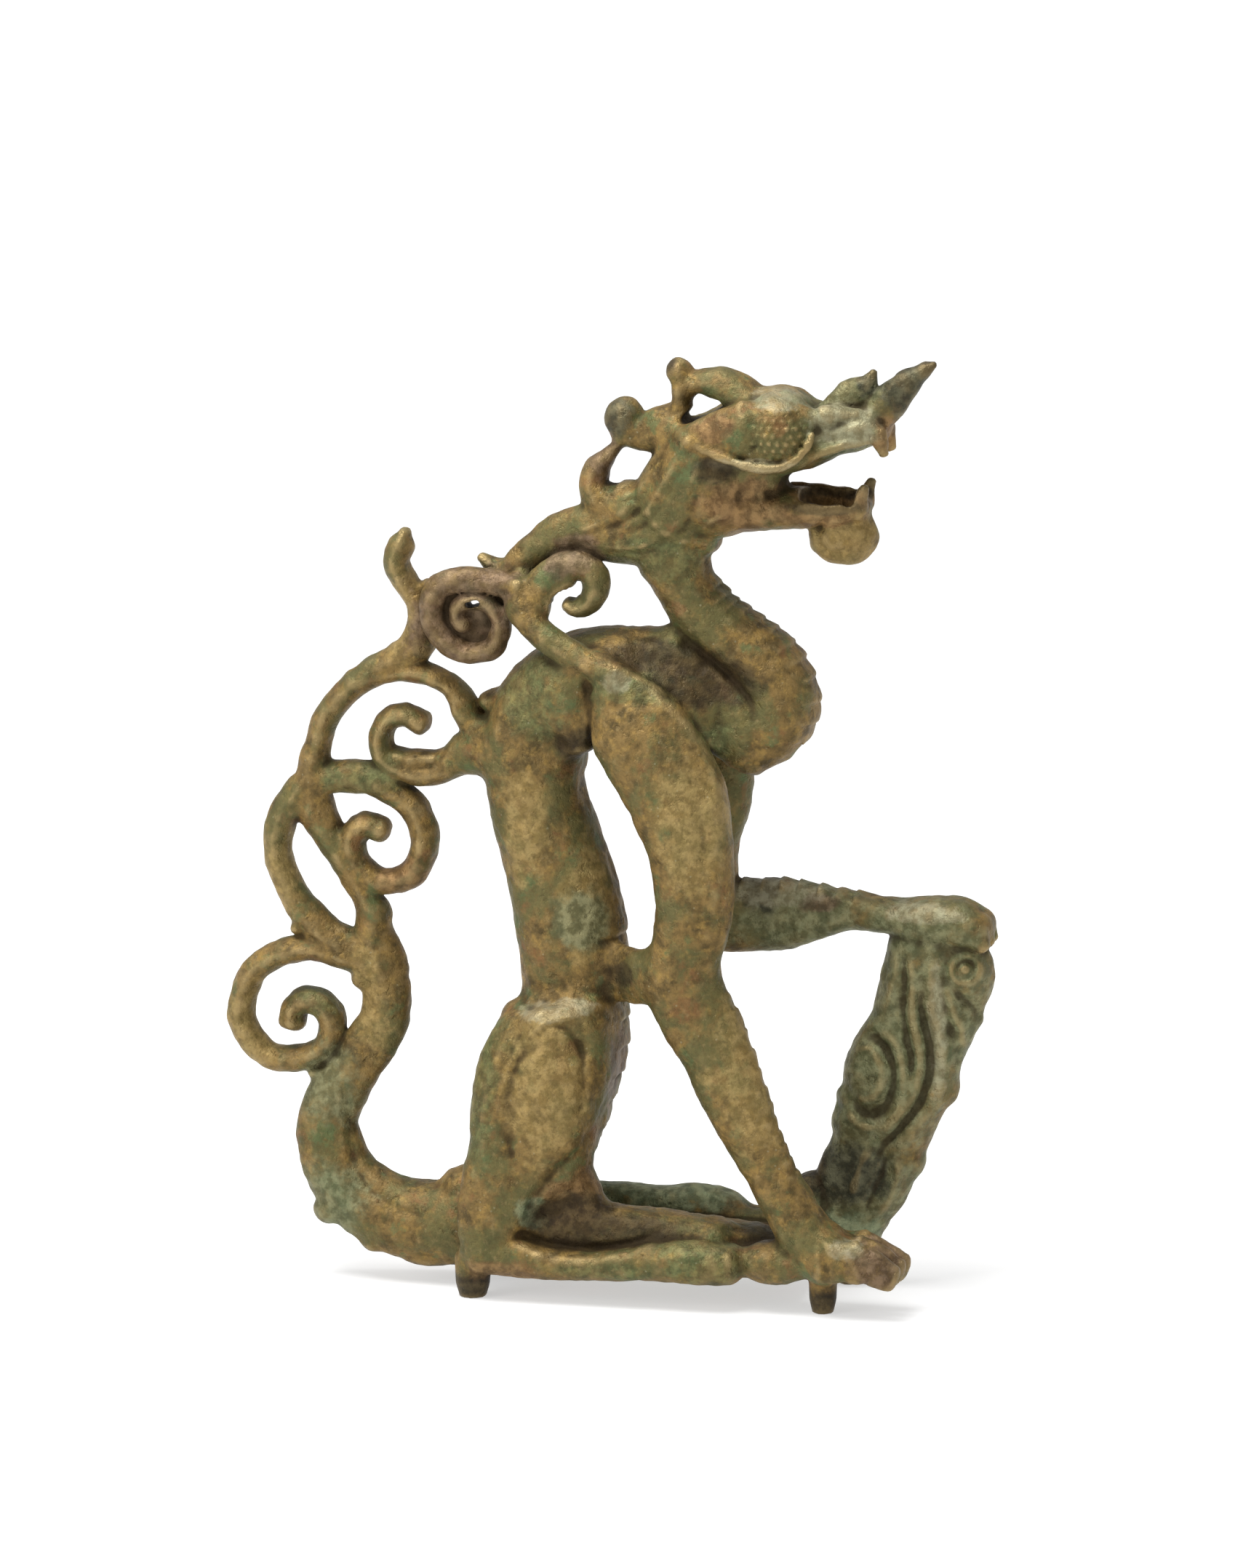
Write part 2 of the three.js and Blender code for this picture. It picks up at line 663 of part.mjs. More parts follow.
function cloud() {
  const raised = CLOUD_SPIRALS.map(scroll);
  return [
    limb(CLOUD, { rings: 9 }),
    limb(CLOUD_RIDGE, { sides: SLIM_SIDES, rings: 8 }),
    ...CLOUD_LOBES.map((lobe) => ball(lobe, 7)),
    ...raised,
  ];
}

function cast(pieces) {
  const whole = pieces.reduce((sum, piece) => sum.add(piece)).simplify(WELD);
  const { vertProperties, triVerts } = whole.getMesh();
  const geometry = new THREE.BufferGeometry();
  geometry.setAttribute("position", new THREE.BufferAttribute(new Float32Array(vertProperties), 3));
  geometry.setIndex(new THREE.BufferAttribute(new Uint32Array(triVerts), 1));
  return geometry;
}

const geometry = cast([...body(), ...head(), ...legs(), ...tail(), ...ribbon(), ...cloud()]);
geometry.computeBoundingBox();
const middle = geometry.boundingBox.getCenter(new THREE.Vector3());
geometry.translate(-middle.x, -middle.y, -geometry.boundingBox.min.z);

const dragon = new THREE.Mesh(geometry, BRONZE);
dragon.name = "dragon";

const figure = new THREE.Group();
figure.add(dragon);

export default figure;
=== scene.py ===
"""Looks of a seated dragon, one bronze casting with a worn and mottled patina.

The figure is modelled as a solid field in millimetres: limbs that follow a row of stations, balls
for the swellings, and lines that are raised or sunk on their faces. The field becomes one closed
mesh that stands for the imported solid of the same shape.
"""

import logging
import math
from dataclasses import dataclass, field, replace
from enum import Enum

import bpy
import numpy as np
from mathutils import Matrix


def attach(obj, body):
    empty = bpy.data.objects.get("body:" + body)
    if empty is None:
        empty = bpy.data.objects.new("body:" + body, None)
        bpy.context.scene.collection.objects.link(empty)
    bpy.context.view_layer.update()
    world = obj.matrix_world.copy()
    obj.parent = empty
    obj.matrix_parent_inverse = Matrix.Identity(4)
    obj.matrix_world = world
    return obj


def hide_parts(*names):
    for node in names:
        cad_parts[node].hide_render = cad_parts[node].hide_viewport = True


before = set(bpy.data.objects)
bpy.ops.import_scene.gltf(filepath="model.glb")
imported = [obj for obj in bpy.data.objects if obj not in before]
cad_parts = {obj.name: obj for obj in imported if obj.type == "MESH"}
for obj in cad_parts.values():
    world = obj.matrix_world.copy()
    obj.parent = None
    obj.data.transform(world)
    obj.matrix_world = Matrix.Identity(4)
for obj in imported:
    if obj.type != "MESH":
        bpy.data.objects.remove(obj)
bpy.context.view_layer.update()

import openvdb
from mathutils import Vector

LOG = logging.getLogger("dragon")

Point = tuple[float, float, float]
Station = tuple[float, float, float, float, float]
Stations = tuple[Station, ...]
Path = tuple[tuple[float, float], ...]
Colour = tuple[int, int, int]
Socket = bpy.types.NodeSocket

MILLIMETRE = 0.001
FRAME_SHIFT = (1.3561, 0.7087, 0.0)  # from the casting's own middle to the frame's, in millimetres
FIELD_LOW = (-84.0, -24.4, -2.0)
FIELD_HIGH = (81.6, 23.2, 201.2)
FINE_CELL = 0.4
FAR = 3.0  # distances are kept up to this one
TRIANGLE_LIMIT = 194000

OPENWORK_WIDE = 4.0  # half of the openwork bands across
FOOT_SIDE = 14.0  # the feet's distance from the middle plane
FANG_SIDE = 4.0
CLOUD_SIDE = 13.0
SCROLL_STEP = 45.0  # degrees between the stations of a scroll
CAP_LENGTH = 0.8  # length of a limb's round end, as a share of its half thickness
LEAST_SIZE = 0.3  # no limb is thinner than twice this
SAMPLE_STEP = 0.6  # cells between the samples along a limb
SPINE_BREADTH = 0.36  # breadth of the ridge on an openwork band, as a share of its half height
SPINE_RISE = (0.5, 0.9)  # where the ridge rises, as shares of the band's half width
PLATE_LIP = 0.14  # share of a plate in which it rises
PLATE_FALL = 0.8  # how evenly a plate falls away behind its lip
PLATE_EDGE = (0.5, 0.92)  # where the plates start, as shares of the limb's half height
PLATE_SINK = 0.3  # how deep the gaps between the plates lie
DOT_HEIGHT = 0.3  # height of an eye's dot beside the depth of its ring
LINE_FADE = 0.8  # how softly a carved line ends toward the middle plane


class Face(Enum):
    """Which faces of the figure a carved line is on, as the signs of y there."""

    NEAR = (-1,)
    FAR = (1,)
    BOTH = (-1, 1)


class Edge(Enum):
    """Which edge of a limb its plates are on: the front of one that runs upward or downward."""

    UPWARD_FRONT = 1
    DOWNWARD_FRONT = -1


@dataclass(frozen=True)
class Plates:
    """A row of overlapping plates along one edge of a limb."""

    start: float
    end: float
    count: int
    edge: Edge = Edge.UPWARD_FRONT
    depth: float = 1.0


@dataclass(frozen=True)
class Limb:
    """A rounded bar through stations of x, y, z, half height in profile and half width across."""

    stations: Stations
    fillet: float = 1.2
    square: float = 2.3
    plates: Plates | None = None
    spine: float = 0.0

    def mirrored(self) -> "Limb":
        """Returns the same limb on the other side of the middle plane."""
        flipped = tuple((x, -y, z, high, wide) for x, y, z, high, wide in self.stations)
        return replace(self, stations=flipped)


def limb(*stations: Station, **settings: object) -> Limb:
    """Returns a limb through the stations given one after the other, with the settings named."""
    return Limb(stations, **settings)


@dataclass(frozen=True)
class Ball:
    """A swelling with a middle and three half sizes."""

    at: Point
    half: Point
    fillet: float = 1.2

    def mirrored(self) -> "Ball":
        """Returns the same ball on the other side of the middle plane."""
        x, y, z = self.at
        return replace(self, at=(x, -y, z))


@dataclass(frozen=True)
class Line:
    """A line on a face of the casting, raised where its rise is positive and sunk where it isn't."""

    path: Path
    rise: float
    width: float
    face: Face = Face.NEAR
    beyond: float = 0.0
    fade: float = 0.12


def fold(rise: float, width: float, *path: tuple[float, float]) -> Line:
    """Returns a line through the places given one after the other."""
    return Line(path, rise, width)


@dataclass(frozen=True)
class Scroll:
    """A band that winds round a middle, with a new radius every SCROLL_STEP degrees."""

    middle: Point
    start: float  # degrees, from the front
    turn: int  # 1 upward from the front, -1 downward
    radii: tuple[float, ...]
    half: float = 2.9
    tip: float = 2.2
    wide: float = OPENWORK_WIDE

    def stations(self) -> Stations:
        """Winds the band round its middle.

        Returns:
            The stations of the band from its root to its tip.
        """
        x, y, z = self.middle
        rows = []
        for step, radius in enumerate(self.radii):
            angle = math.radians(self.start + self.turn * SCROLL_STEP * step)
            thinning = step / (len(self.radii) - 1)
            high = self.half + (self.tip - self.half) * thinning
            rows.append((x + radius * math.cos(angle), y, z + radius * math.sin(angle), high, self.wide))
        return tuple(rows)

    def path(self) -> Path:
        """Returns the middle line of the band as it is seen from the side."""
        return tuple((x, z) for x, _, z, _, _ in self.stations())


def smooth_curve(points: np.ndarray, places: np.ndarray) -> np.ndarray:
    """Runs a centripetal curve through points.

    Args:
        points: One row for each point.
        places: Where the curve is read, as the point's number with a fraction.

    Returns:
        One row for each place.
    """
    padded = np.vstack([2 * points[0] - points[1], points, 2 * points[-1] - points[-2]])
    span = np.clip(places.astype(int), 0, len(points) - 2)
    part = (places - span)[:, None]
    before, start, end, after = (padded[span + offset] for offset in range(4))

    def knot(one: np.ndarray, other: np.ndarray) -> np.ndarray:
        """Returns the knot spacing between two rows of points."""
        return np.maximum(np.linalg.norm(other - one, axis=1, keepdims=True), 1e-8) ** 0.5

    first, middle, last = knot(before, start), knot(start, end), knot(end, after)
    middle = np.where(middle < 1e-4, 1.0, middle)
    first = np.where(first < 1e-4, middle, first)
    last = np.where(last < 1e-4, middle, last)
    leaving = (start - before) / first - (end - before) / (first + middle) + (end - start) / middle
    arriving = (end - start) / middle - (after - start) / (middle + last) + (after - end) / last
    leaving = leaving * middle
    arriving = arriving * middle
    square = 3 * (end - start) - 2 * leaving - arriving
    cube = 2 * (start - end) + leaving + arriving
    return start + part * (leaving + part * (square + part * cube))


def smoothstep(value: np.ndarray, low: float, high: float) -> np.ndarray:
    """Rises smoothly from 0 at low to 1 at high."""
    part = np.clip((value - low) / (high - low), 0.0, 1.0)
    return part * part * (3 - 2 * part)


class SolidField:
    """Distances to the casting's surface on an even grid, negative inside, in millimetres."""

    def __init__(self, cell: float) -> None:
        """Makes an empty field.

        Args:
            cell: Spacing of the grid.
        """
        self.cell = cell
        self.low = np.array(FIELD_LOW, np.float32)
        self.axes = [
            np.arange(low, high, cell, dtype=np.float32) for low, high in zip(FIELD_LOW, FIELD_HIGH)
        ]
        self.values = np.full([len(axis) for axis in self.axes], FAR, np.float32)

    def span(self, axis: int, low: float, high: float) -> slice:
        """Finds the cells of an axis that lie between two places.

        Args:
            axis: Number of the axis.
            low: The lower place.
            high: The upper place.

        Returns:
            The run of cells.
        """
        first = int(np.floor((low - self.low[axis]) / self.cell))
        last = int(np.ceil((high - self.low[axis]) / self.cell)) + 1
        count = len(self.axes[axis])
        return slice(min(max(first, 0), count), min(max(last, 0), count))

    @staticmethod
    def joined(old: np.ndarray, new: np.ndarray, fillet: float) -> np.ndarray:
        """Returns the union of two distances with a fillet between them."""
        overlap = np.maximum(fillet - np.abs(old - new), 0.0)
        return np.minimum(old, new) - overlap * overlap / (4 * fillet)

    def add(self, *shapes: Limb | Ball) -> None:
        """Casts shapes onto what is there, one after the other.

        Args:
            shapes: The limbs and balls.
        """
        for shape in shapes:
            where, distance = self.distance_to(shape)
            self.values[where] = self.joined(self.values[where], distance, shape.fillet)

    def cut(self, *shapes: Limb | Ball) -> None:
        """Cuts shapes out of what is there, one after the other.

        Args:
            shapes: The limbs and balls.
        """
        for shape in shapes:
            where, distance = self.distance_to(shape)
            self.values[where] = -self.joined(-self.values[where], distance, shape.fillet)

    def distance_to(self, shape: Limb | Ball) -> tuple[tuple, np.ndarray]:
        """Returns the part of the grid that is near a shape, and the distances in it."""
        return self.limb_distance(shape) if isinstance(shape, Limb) else self.ball_distance(shape)

    def sample_places(self, rows: np.ndarray) -> np.ndarray:
        """Sets close places along a limb's stations.

        Args:
            rows: One row for each station.

        Returns:
            The places, as the station's number with a fraction.
        """
        lengths = np.linalg.norm(np.diff(rows[:, :3], axis=0), axis=1)
        steps = (min(SAMPLE_STEP * self.cell / max(length, 1e-6), 1.0) for length in lengths)
        runs = [number + np.arange(0, 1, step) for number, step in enumerate(steps)]
        return np.concatenate(runs + [[len(rows) - 1]])

    @staticmethod
    def nearest_samples(x: np.ndarray, z: np.ndarray, centre: np.ndarray, sizes: np.ndarray) -> tuple:
        """Finds the nearest of a limb's samples for each column of the grid across the profile.

        Args:
            x: Places of the columns along the figure.
            z: Heights of the columns.
            centre: The samples' middles.
            sizes: The samples' half sizes.

        Returns:
            The number of the nearest sample, and whether the limb is near, for each column.
        """
        nearest = np.full((len(x), len(z)), np.inf, np.float32)
        sample = np.zeros((len(x), len(z)), np.int32)
        for number, (middle, size) in enumerate(zip(centre, sizes)):
            room = size[0] + FAR
            i = slice(*np.searchsorted(x, [middle[0] - room, middle[0] + room]))
            j = slice(*np.searchsorted(z, [middle[2] - room, middle[2] + room]))
            square = (x[i, None] - middle[0]) ** 2 + (z[None, j] - middle[2]) ** 2
            better = square < nearest[i, j]
            nearest[i, j] = np.where(better, square, nearest[i, j])
            sample[i, j] = np.where(better, number, sample[i, j])
        return sample, np.sqrt(nearest) < sizes[sample, 0] + FAR

    def limb_distance(self, limb: Limb) -> tuple[tuple, np.ndarray]:
        """Measures the distance to a limb near it.

        Args:
            limb: The limb.

        Returns:
            The part of the grid near the limb, and the distances in it.
        """
        rows = np.array(limb.stations, float)
        places = self.sample_places(rows)
        centre = smooth_curve(rows[:, :3], places)
        sizes = np.maximum(smooth_curve(rows[:, 3:], places), LEAST_SIZE)
        along = np.gradient(centre[:, [0, 2]], axis=0)
        along /= np.maximum(np.linalg.norm(along, axis=1, keepdims=True), 1e-9)
        reach = float(sizes[:, 0].max()) + FAR
        wide = float(sizes[:, 1].max()) + FAR
        xs = self.span(0, centre[:, 0].min() - reach, centre[:, 0].max() + reach)
        zs = self.span(2, centre[:, 2].min() - reach, centre[:, 2].max() + reach)
        ys = self.span(1, centre[:, 1].min() - wide, centre[:, 1].max() + wide)
        x, z = self.axes[0][xs], self.axes[2][zs]
        sample, near = self.nearest_samples(x, z, centre, sizes)
        column, row = np.nonzero(near)
        pick = sample[column, row]
        px, pz = x[column], z[row]
        tangent = along[pick]
        offset = np.stack([px - centre[pick, 0], pz - centre[pick, 2]], 1)
        forward = (offset * tangent).sum(1)
        step = np.linalg.norm(np.gradient(centre[:, [0, 2]], axis=0), axis=1)[pick]
        inside = (pick > 0) & (pick < len(places) - 1)
        slide = np.where(inside, forward, np.where(pick == 0, np.maximum(forward, 0), np.minimum(forward, 0)))
        share = slide / np.maximum(step, 1e-6)
        high = sizes[pick, 0] + share * np.gradient(sizes[:, 0])[pick]
        broad = sizes[pick, 1] + share * np.gradient(sizes[:, 1])[pick]
        side = centre[pick, 1] + share * np.gradient(centre[:, 1])[pick]
        place = (places[pick] + share * np.gradient(places)[pick]) / (len(rows) - 1)
        high, broad = np.maximum(high, LEAST_SIZE), np.maximum(broad, LEAST_SIZE)
        out = offset[:, 0] * tangent[:, 1] - offset[:, 1] * tangent[:, 0]
        past = forward - slide
        cap = np.minimum(high, broad) * CAP_LENGTH
        power = limb.square
        flat = (np.abs(out) / high) ** power + (np.abs(past) / cap) ** power
        layers = np.arange(ys.start, ys.stop)
        across = self.axes[1][layers][None, :] - side[:, None]
        measure = (flat[:, None] + (np.abs(across) / broad[:, None]) ** power) ** (1 / power)
        reach_to = np.sqrt(out[:, None] ** 2 + past[:, None] ** 2 + across * across)
        distance = reach_to - reach_to / np.maximum(measure, 1e-4)
        distance = np.maximum(distance, -np.minimum(high, broad)[:, None])
        if limb.plates:
            distance -= self.plate_height(limb.plates, place, out / high)[:, None] * np.ones_like(across)
        if limb.spine:
            crown = np.exp(-((out / (SPINE_BREADTH * high)) ** 2))[:, None]
            distance -= limb.spine * crown * smoothstep(np.abs(across) / broad[:, None], *SPINE_RISE)
        where = (column + xs.start)[:, None], layers[None, :], (row + zs.start)[:, None]
        return where, distance.astype(np.float32)

    @staticmethod
    def plate_height(plates: Plates, place: np.ndarray, out: np.ndarray) -> np.ndarray:
        """Measures how far the plates stand out.

        Args:
            plates: The row of plates.
            place: Share of the limb's length at each point.
            out: Share of the limb's half height at each point.

        Returns:
            The height at each point.
        """
        along = (place - plates.start) / (plates.end - plates.start) * plates.count
        part = np.mod(along, 1.0)
        crown = smoothstep(part, 0.0, PLATE_LIP) * (1 - part) ** PLATE_FALL
        ends = smoothstep(along, 0.0, 0.4) * smoothstep(plates.count - along, 0.0, 0.4)
        edge = smoothstep(out * plates.edge.value, *PLATE_EDGE)
        return (crown - PLATE_SINK) * plates.depth * edge * ends

    def ball_distance(self, ball: Ball) -> tuple[tuple, np.ndarray]:
        """Measures the distance to a ball near it.

        Args:
            ball: The ball.

        Returns:
            The part of the grid near the ball, and the distances in it.
        """
        where = tuple(
            self.span(axis, ball.at[axis] - ball.half[axis] - FAR, ball.at[axis] + ball.half[axis] + FAR)
            for axis in range(3)
        )
        offsets = np.meshgrid(
            *(self.axes[axis][where[axis]] - ball.at[axis] for axis in range(3)), indexing="ij"
        )
        scaled = sum((part / half) ** 2 for part, half in zip(offsets, ball.half)) ** 0.5
        steep = sum((part / half**2) ** 2 for part, half in zip(offsets, ball.half)) ** 0.5
        distance = np.where(steep > 1e-5, scaled * (scaled - 1) / np.maximum(steep, 1e-5), -min(ball.half))
        return where, distance.astype(np.float32)

    def draw(self, *lines: Line) -> None:
        """Raises or sinks lines on the faces of what is there, one after the other."""
        for line in lines:
            self.draw_one(line)

    def draw_one(self, line: Line) -> None:
        """Raises or sinks one line.

        Args:
            line: The line.
        """
        points = np.array(line.path, float)
        if len(points) > 2:
            places = np.linspace(0, len(points) - 1, 12 * len(points))
            points = smooth_curve(points, places)
        room = 3 * line.width
        xs = self.span(0, points[:, 0].min() - room, points[:, 0].max() + room)
        zs = self.span(2, points[:, 1].min() - room, points[:, 1].max() + room)
        x, z = self.axes[0][xs][:, None], self.axes[2][zs][None, :]
        height = np.zeros((x.shape[0], z.shape[1]), np.float32)
        count = len(points) - 1
        for number, (start, end) in enumerate(zip(points[:-1], points[1:])):
            run = end - start
            square = max(float(run @ run), 1e-9)
            part = np.clip(((x - start[0]) * run[0] + (z - start[1]) * run[1]) / square, 0, 1)
            gap = (x - start[0] - part * run[0]) ** 2 + (z - start[1] - part * run[1]) ** 2
            place = (number + part) / count
            ends = np.minimum(place, 1 - place)
            taper = np.clip(ends / line.fade, 0, 1) ** 0.7 if line.fade else 1.0
            height = np.maximum(height, np.exp(-gap / line.width**2) * taper)
        for side in line.face.value:
            mask = smoothstep(side * self.axes[1], line.beyond - LINE_FADE, line.beyond + LINE_FADE)
            self.values[xs, :, zs] -= (line.rise * height)[:, None, :] * mask[None, :, None]

    def ring(self, at: Point, radius: float, width: float, rise: float) -> None:
        """Raises a small dot with a sunk ring round it on the surface.

        Args:
            at: The dot's middle.
            radius: Radius of the ring.
            width: Width of the dot and of the ring.
            rise: Depth of the ring.
        """
        room = radius + 3 * width
        where = tuple(self.span(axis, at[axis] - 2 * room, at[axis] + 2 * room) for axis in range(3))
        x, y, z = np.meshgrid(*(self.axes[k][where[k]] - at[k] for k in range(3)), indexing="ij")
        away = np.sqrt(x * x + z * z)
        height = DOT_HEIGHT * np.exp(-((away / width) ** 2)) - np.exp(-(((away - radius) / width) ** 2))
        self.values[where] -= rise * height * np.exp(-((y / (1.6 * room)) ** 4))

    def rough(self, spacing: float, height: float, seed: int) -> None:
        """Makes the whole surface uneven.

        Args:
            spacing: Distance between the bumps.
            height: How far they stand out at most.
            seed: Start of the random row.
        """
        draw = np.random.default_rng(seed)
        weights = [bump_weights(axis, spacing) for axis in self.axes]
        coarse = draw.standard_normal([matrix.shape[1] for matrix in weights]).astype(np.float32)
        part = np.tensordot(weights[1], coarse, (1, 1))
        part = np.tensordot(weights[0], part, (1, 1))
        part = np.tensordot(part, weights[2], (2, 1))
        self.values -= np.clip(part * (1.6 * height), -1.2 * height, height)

    def blurred(self, cells: int) -> np.ndarray:
        """Smooths the field.

        Args:
            cells: Reach of the box round each cell, in cells.

        Returns:
            The mean of the field in the box round each cell.
        """
        result = self.values
        for axis in range(3):
            width = 2 * cells + 1
            pad = [(0, 0)] * 3
            pad[axis] = (cells + 1, cells)
            total = np.cumsum(np.pad(result, pad, mode="edge"), axis=axis, dtype=np.float32)
            upper = np.take(total, range(width, total.shape[axis]), axis=axis)
            lower = np.take(total, range(0, total.shape[axis] - width), axis=axis)
            result = (upper - lower) / width
        return result

    def read(self, values: np.ndarray, points: np.ndarray) -> np.ndarray:
        """Reads a grid of values at points, in between its cells.

        Args:
            values: The grid.
            points: One row for each point, in millimetres.

        Returns:
            The value at each point.
        """
        place = (points - self.low) / self.cell
        base = np.clip(place.astype(int), 0, np.array(values.shape) - 2)
        part = place - base
        total = np.zeros(len(points), np.float32)
        for corner in range(8):
            bits = np.array([corner & 1, corner >> 1 & 1, corner >> 2 & 1])
            weight = np.prod(np.where(bits, part, 1 - part), axis=1)
            index = base + bits
            total += weight * values[index[:, 0], index[:, 1], index[:, 2]]
        return total

    def skin(self) -> tuple[np.ndarray, np.ndarray]:
        """Makes the skin of the solid.

        Returns:
            The skin's points, in millimetres, and its four-sided faces.
        """
        grid = openvdb.FloatGrid(background=FAR)
        grid.copyFromArray(np.ascontiguousarray(self.values))
        points, faces = grid.convertToQuads(isovalue=0.0)
        return points * self.cell + self.low, faces


def bump_weights(axis: np.ndarray, spacing: float) -> np.ndarray:
    """Returns how much each coarse place counts at each cell of an axis, along a smooth bell.

    Args:
        axis: Places of the cells.
        spacing: Distance between the coarse places.

    Returns:
        One row for each cell, with a share for each coarse place.
    """
    place = (axis - axis[0]) / spacing
    nodes = np.arange(-1, int(place[-1]) + 3)
    away = np.abs(place[:, None] - nodes[None, :])
    inner = 2 / 3 - away**2 + away**3 / 2
    outer = np.maximum(2 - away, 0) ** 3 / 6
    return np.where(away < 1, inner, outer).astype(np.float32)


@dataclass(frozen=True)
class Torso:
    """The rump, the back that arches over to the chest, the neck and the haunches."""

    body: Limb = limb(
        (-13.5, 0, 19, 8.6, 9), (-12.9, 0, 30.5, 9.1, 10), (-10.3, 0, 41, 10.4, 10.5),
        (-8.2, 0, 53.5, 11.6, 11), (-7.8, 0, 66, 10.9, 11), (-9, 0, 80, 11.4, 11),
        (-12.5, 0, 93.5, 10.7, 11), (-15.6, 0, 104.5, 9.9, 11), (-16.4, 0, 114, 11.2, 11),
        (-15, 0, 122.2, 9.6, 11), (-9, 0, 129.1, 9.1, 11), (1, 0, 131.6, 9, 11), (13, 0, 130.6, 9.5, 11),
        (22, 0, 125, 9.2, 11), (30, 0, 120.2, 7.8, 10.5),
        plates=Plates(0.06, 0.36, 10, depth=0.75),
    )
    neck: Limb = limb(
        (29.2, 0, 117.3, 6.7, 9.5), (35, 0, 121.8, 7.4, 9.8), (36.3, 0, 127.5, 7.7, 9),
        (33.1, 0, 133.5, 7.3, 8.6), (27.2, 0, 138.6, 6.7, 8), (20.9, 0, 143.5, 6.3, 7.5),
        (15.8, 0, 150, 6.3, 7.3), (13.3, 0, 156.5, 7.2, 7.5),
        fillet=0.8, plates=Plates(0.08, 0.84, 13, depth=0.6),
    )
    thigh: Limb = limb(
        (-11, -8, 60, 5.2, 4.4), (-13.5, -11, 54, 9.7, 5.8), (-14.9, -12.5, 43, 11.7, 7),
        (-16, -13, 33.5, 11.4, 7), (-19.2, -13.5, 25, 9.4, 6.5), (-22.2, -14, 17.5, 7.4, 6),
        (-23.4, -14, 10.8, 6, 6),
        fillet=2.2,
    )
    flank: Limb = limb(
        (-4, -8, 60, 5.5, 6), (-4.4, -9, 48, 6.2, 8), (-6.9, -9, 36, 6, 8), (-7.8, -9, 27, 5.6, 6.5),
        (-5.4, -9, 20, 6, 5),
        fillet=4.0,
    )
    haunch: tuple[Ball, ...] = (
        Ball((-9.6, -16.2, 44.5), (7.4, 4, 14.5), 3.2),
        Ball((-9, -14.4, 57.4), (5.8, 3.6, 4.2), 2.4),
    )
    sole_web: Limb = limb((-20, 0, 10, 4.6, 13), (10, 0, 9.6, 4.6, 13), (38, 0, 9.4, 4.6, 14))
    webs: tuple[Limb, ...] = (
        limb((-7, -6, 129, 6, 7), (-5.6, -6.5, 122, 5.4, 6.5), (-4.6, -6.5, 117, 3, 5), fillet=4.0),
        limb((-14, -4, 12.6, 4.8, 9), (8, -4, 12.0, 4.8, 9), (30, -4, 11.2, 4.4, 8), fillet=4.0),
        limb(
            (-15, -9, 14.4, 6, 6), (-4, -9.5, 14, 6, 6), (10, -9.5, 13.6, 5.8, 6), (24, -9.5, 12.6, 5, 6),
            fillet=3.0,
        ),
    )
    corners: tuple[Ball, ...] = (
        Ball((13.6, 0, 138.4), (3, 6, 3), 2.4),
        Ball((20.4, 0, 159.6), (3.4, 6, 3.4), 2.0),
        Ball((-28.6, 0, 19.6), (8, 7, 5.6), 2.4),
        Ball((-18.4, -6, 58.4), (3.6, 5, 3.8), 2.4),
    )

    def cast(self, solid: SolidField) -> None:
        """Casts the torso into the solid.

        Args:
            solid: The solid.
        """
        solid.add(self.body, self.neck, self.sole_web, self.thigh, self.thigh.mirrored(), self.flank)
        solid.add(*self.haunch, *(ball.mirrored() for ball in self.haunch))
        solid.add(*self.webs, *self.corners)

    def carve(self, solid: SolidField) -> None:
        """Draws the hollow beside the neck, the haunch's rim and the shin on the solid.

        Args:
            solid: The solid.
        """
        hollow = ((5.0, 137.0), (13.0, 134.8), (19.5, 131.6), (24.4, 126.4), (26.6, 121.0))
        rim = (
            (-23.5, 28.7), (-23.2, 38.0), (-22.0, 45.8), (-19.5, 53.3), (-16.1, 58.7), (-11.8, 61.4),
            (-6.3, 62.2), (-2.6, 60.4), (-0.6, 56.0),
        )
        inner_rim = tuple((x + 2.6, z - 1.6) for x, z in rim[1:7])
        valley = ((-16.2, 27.0), (-17.2, 36.7), (-16.9, 44.5), (-15.8, 51.0), (-13.8, 55.2))
        groove = ((-10.6, 58.8), (-8.4, 59.2), (-5.6, 58.0), (-3.2, 54.0), (-2.2, 47.0), (-3.0, 39.0))
        shin = ((-4.0, 31.9), (-8.4, 27.8), (-12.2, 23.0), (-14.5, 18.6))
        solid.draw(Line(hollow, -2.0, 3.6, Face.NEAR, 4.0))
        for path, rise, width in (
            (rim, 0.9, 1.8), (valley, -0.5, 1.7), (groove, -0.5, 0.8), (inner_rim, 0.45, 0.8),
            (shin, -0.8, 1.2),
        ):
            solid.draw(Line(path, rise, width, Face.BOTH, 9.0))


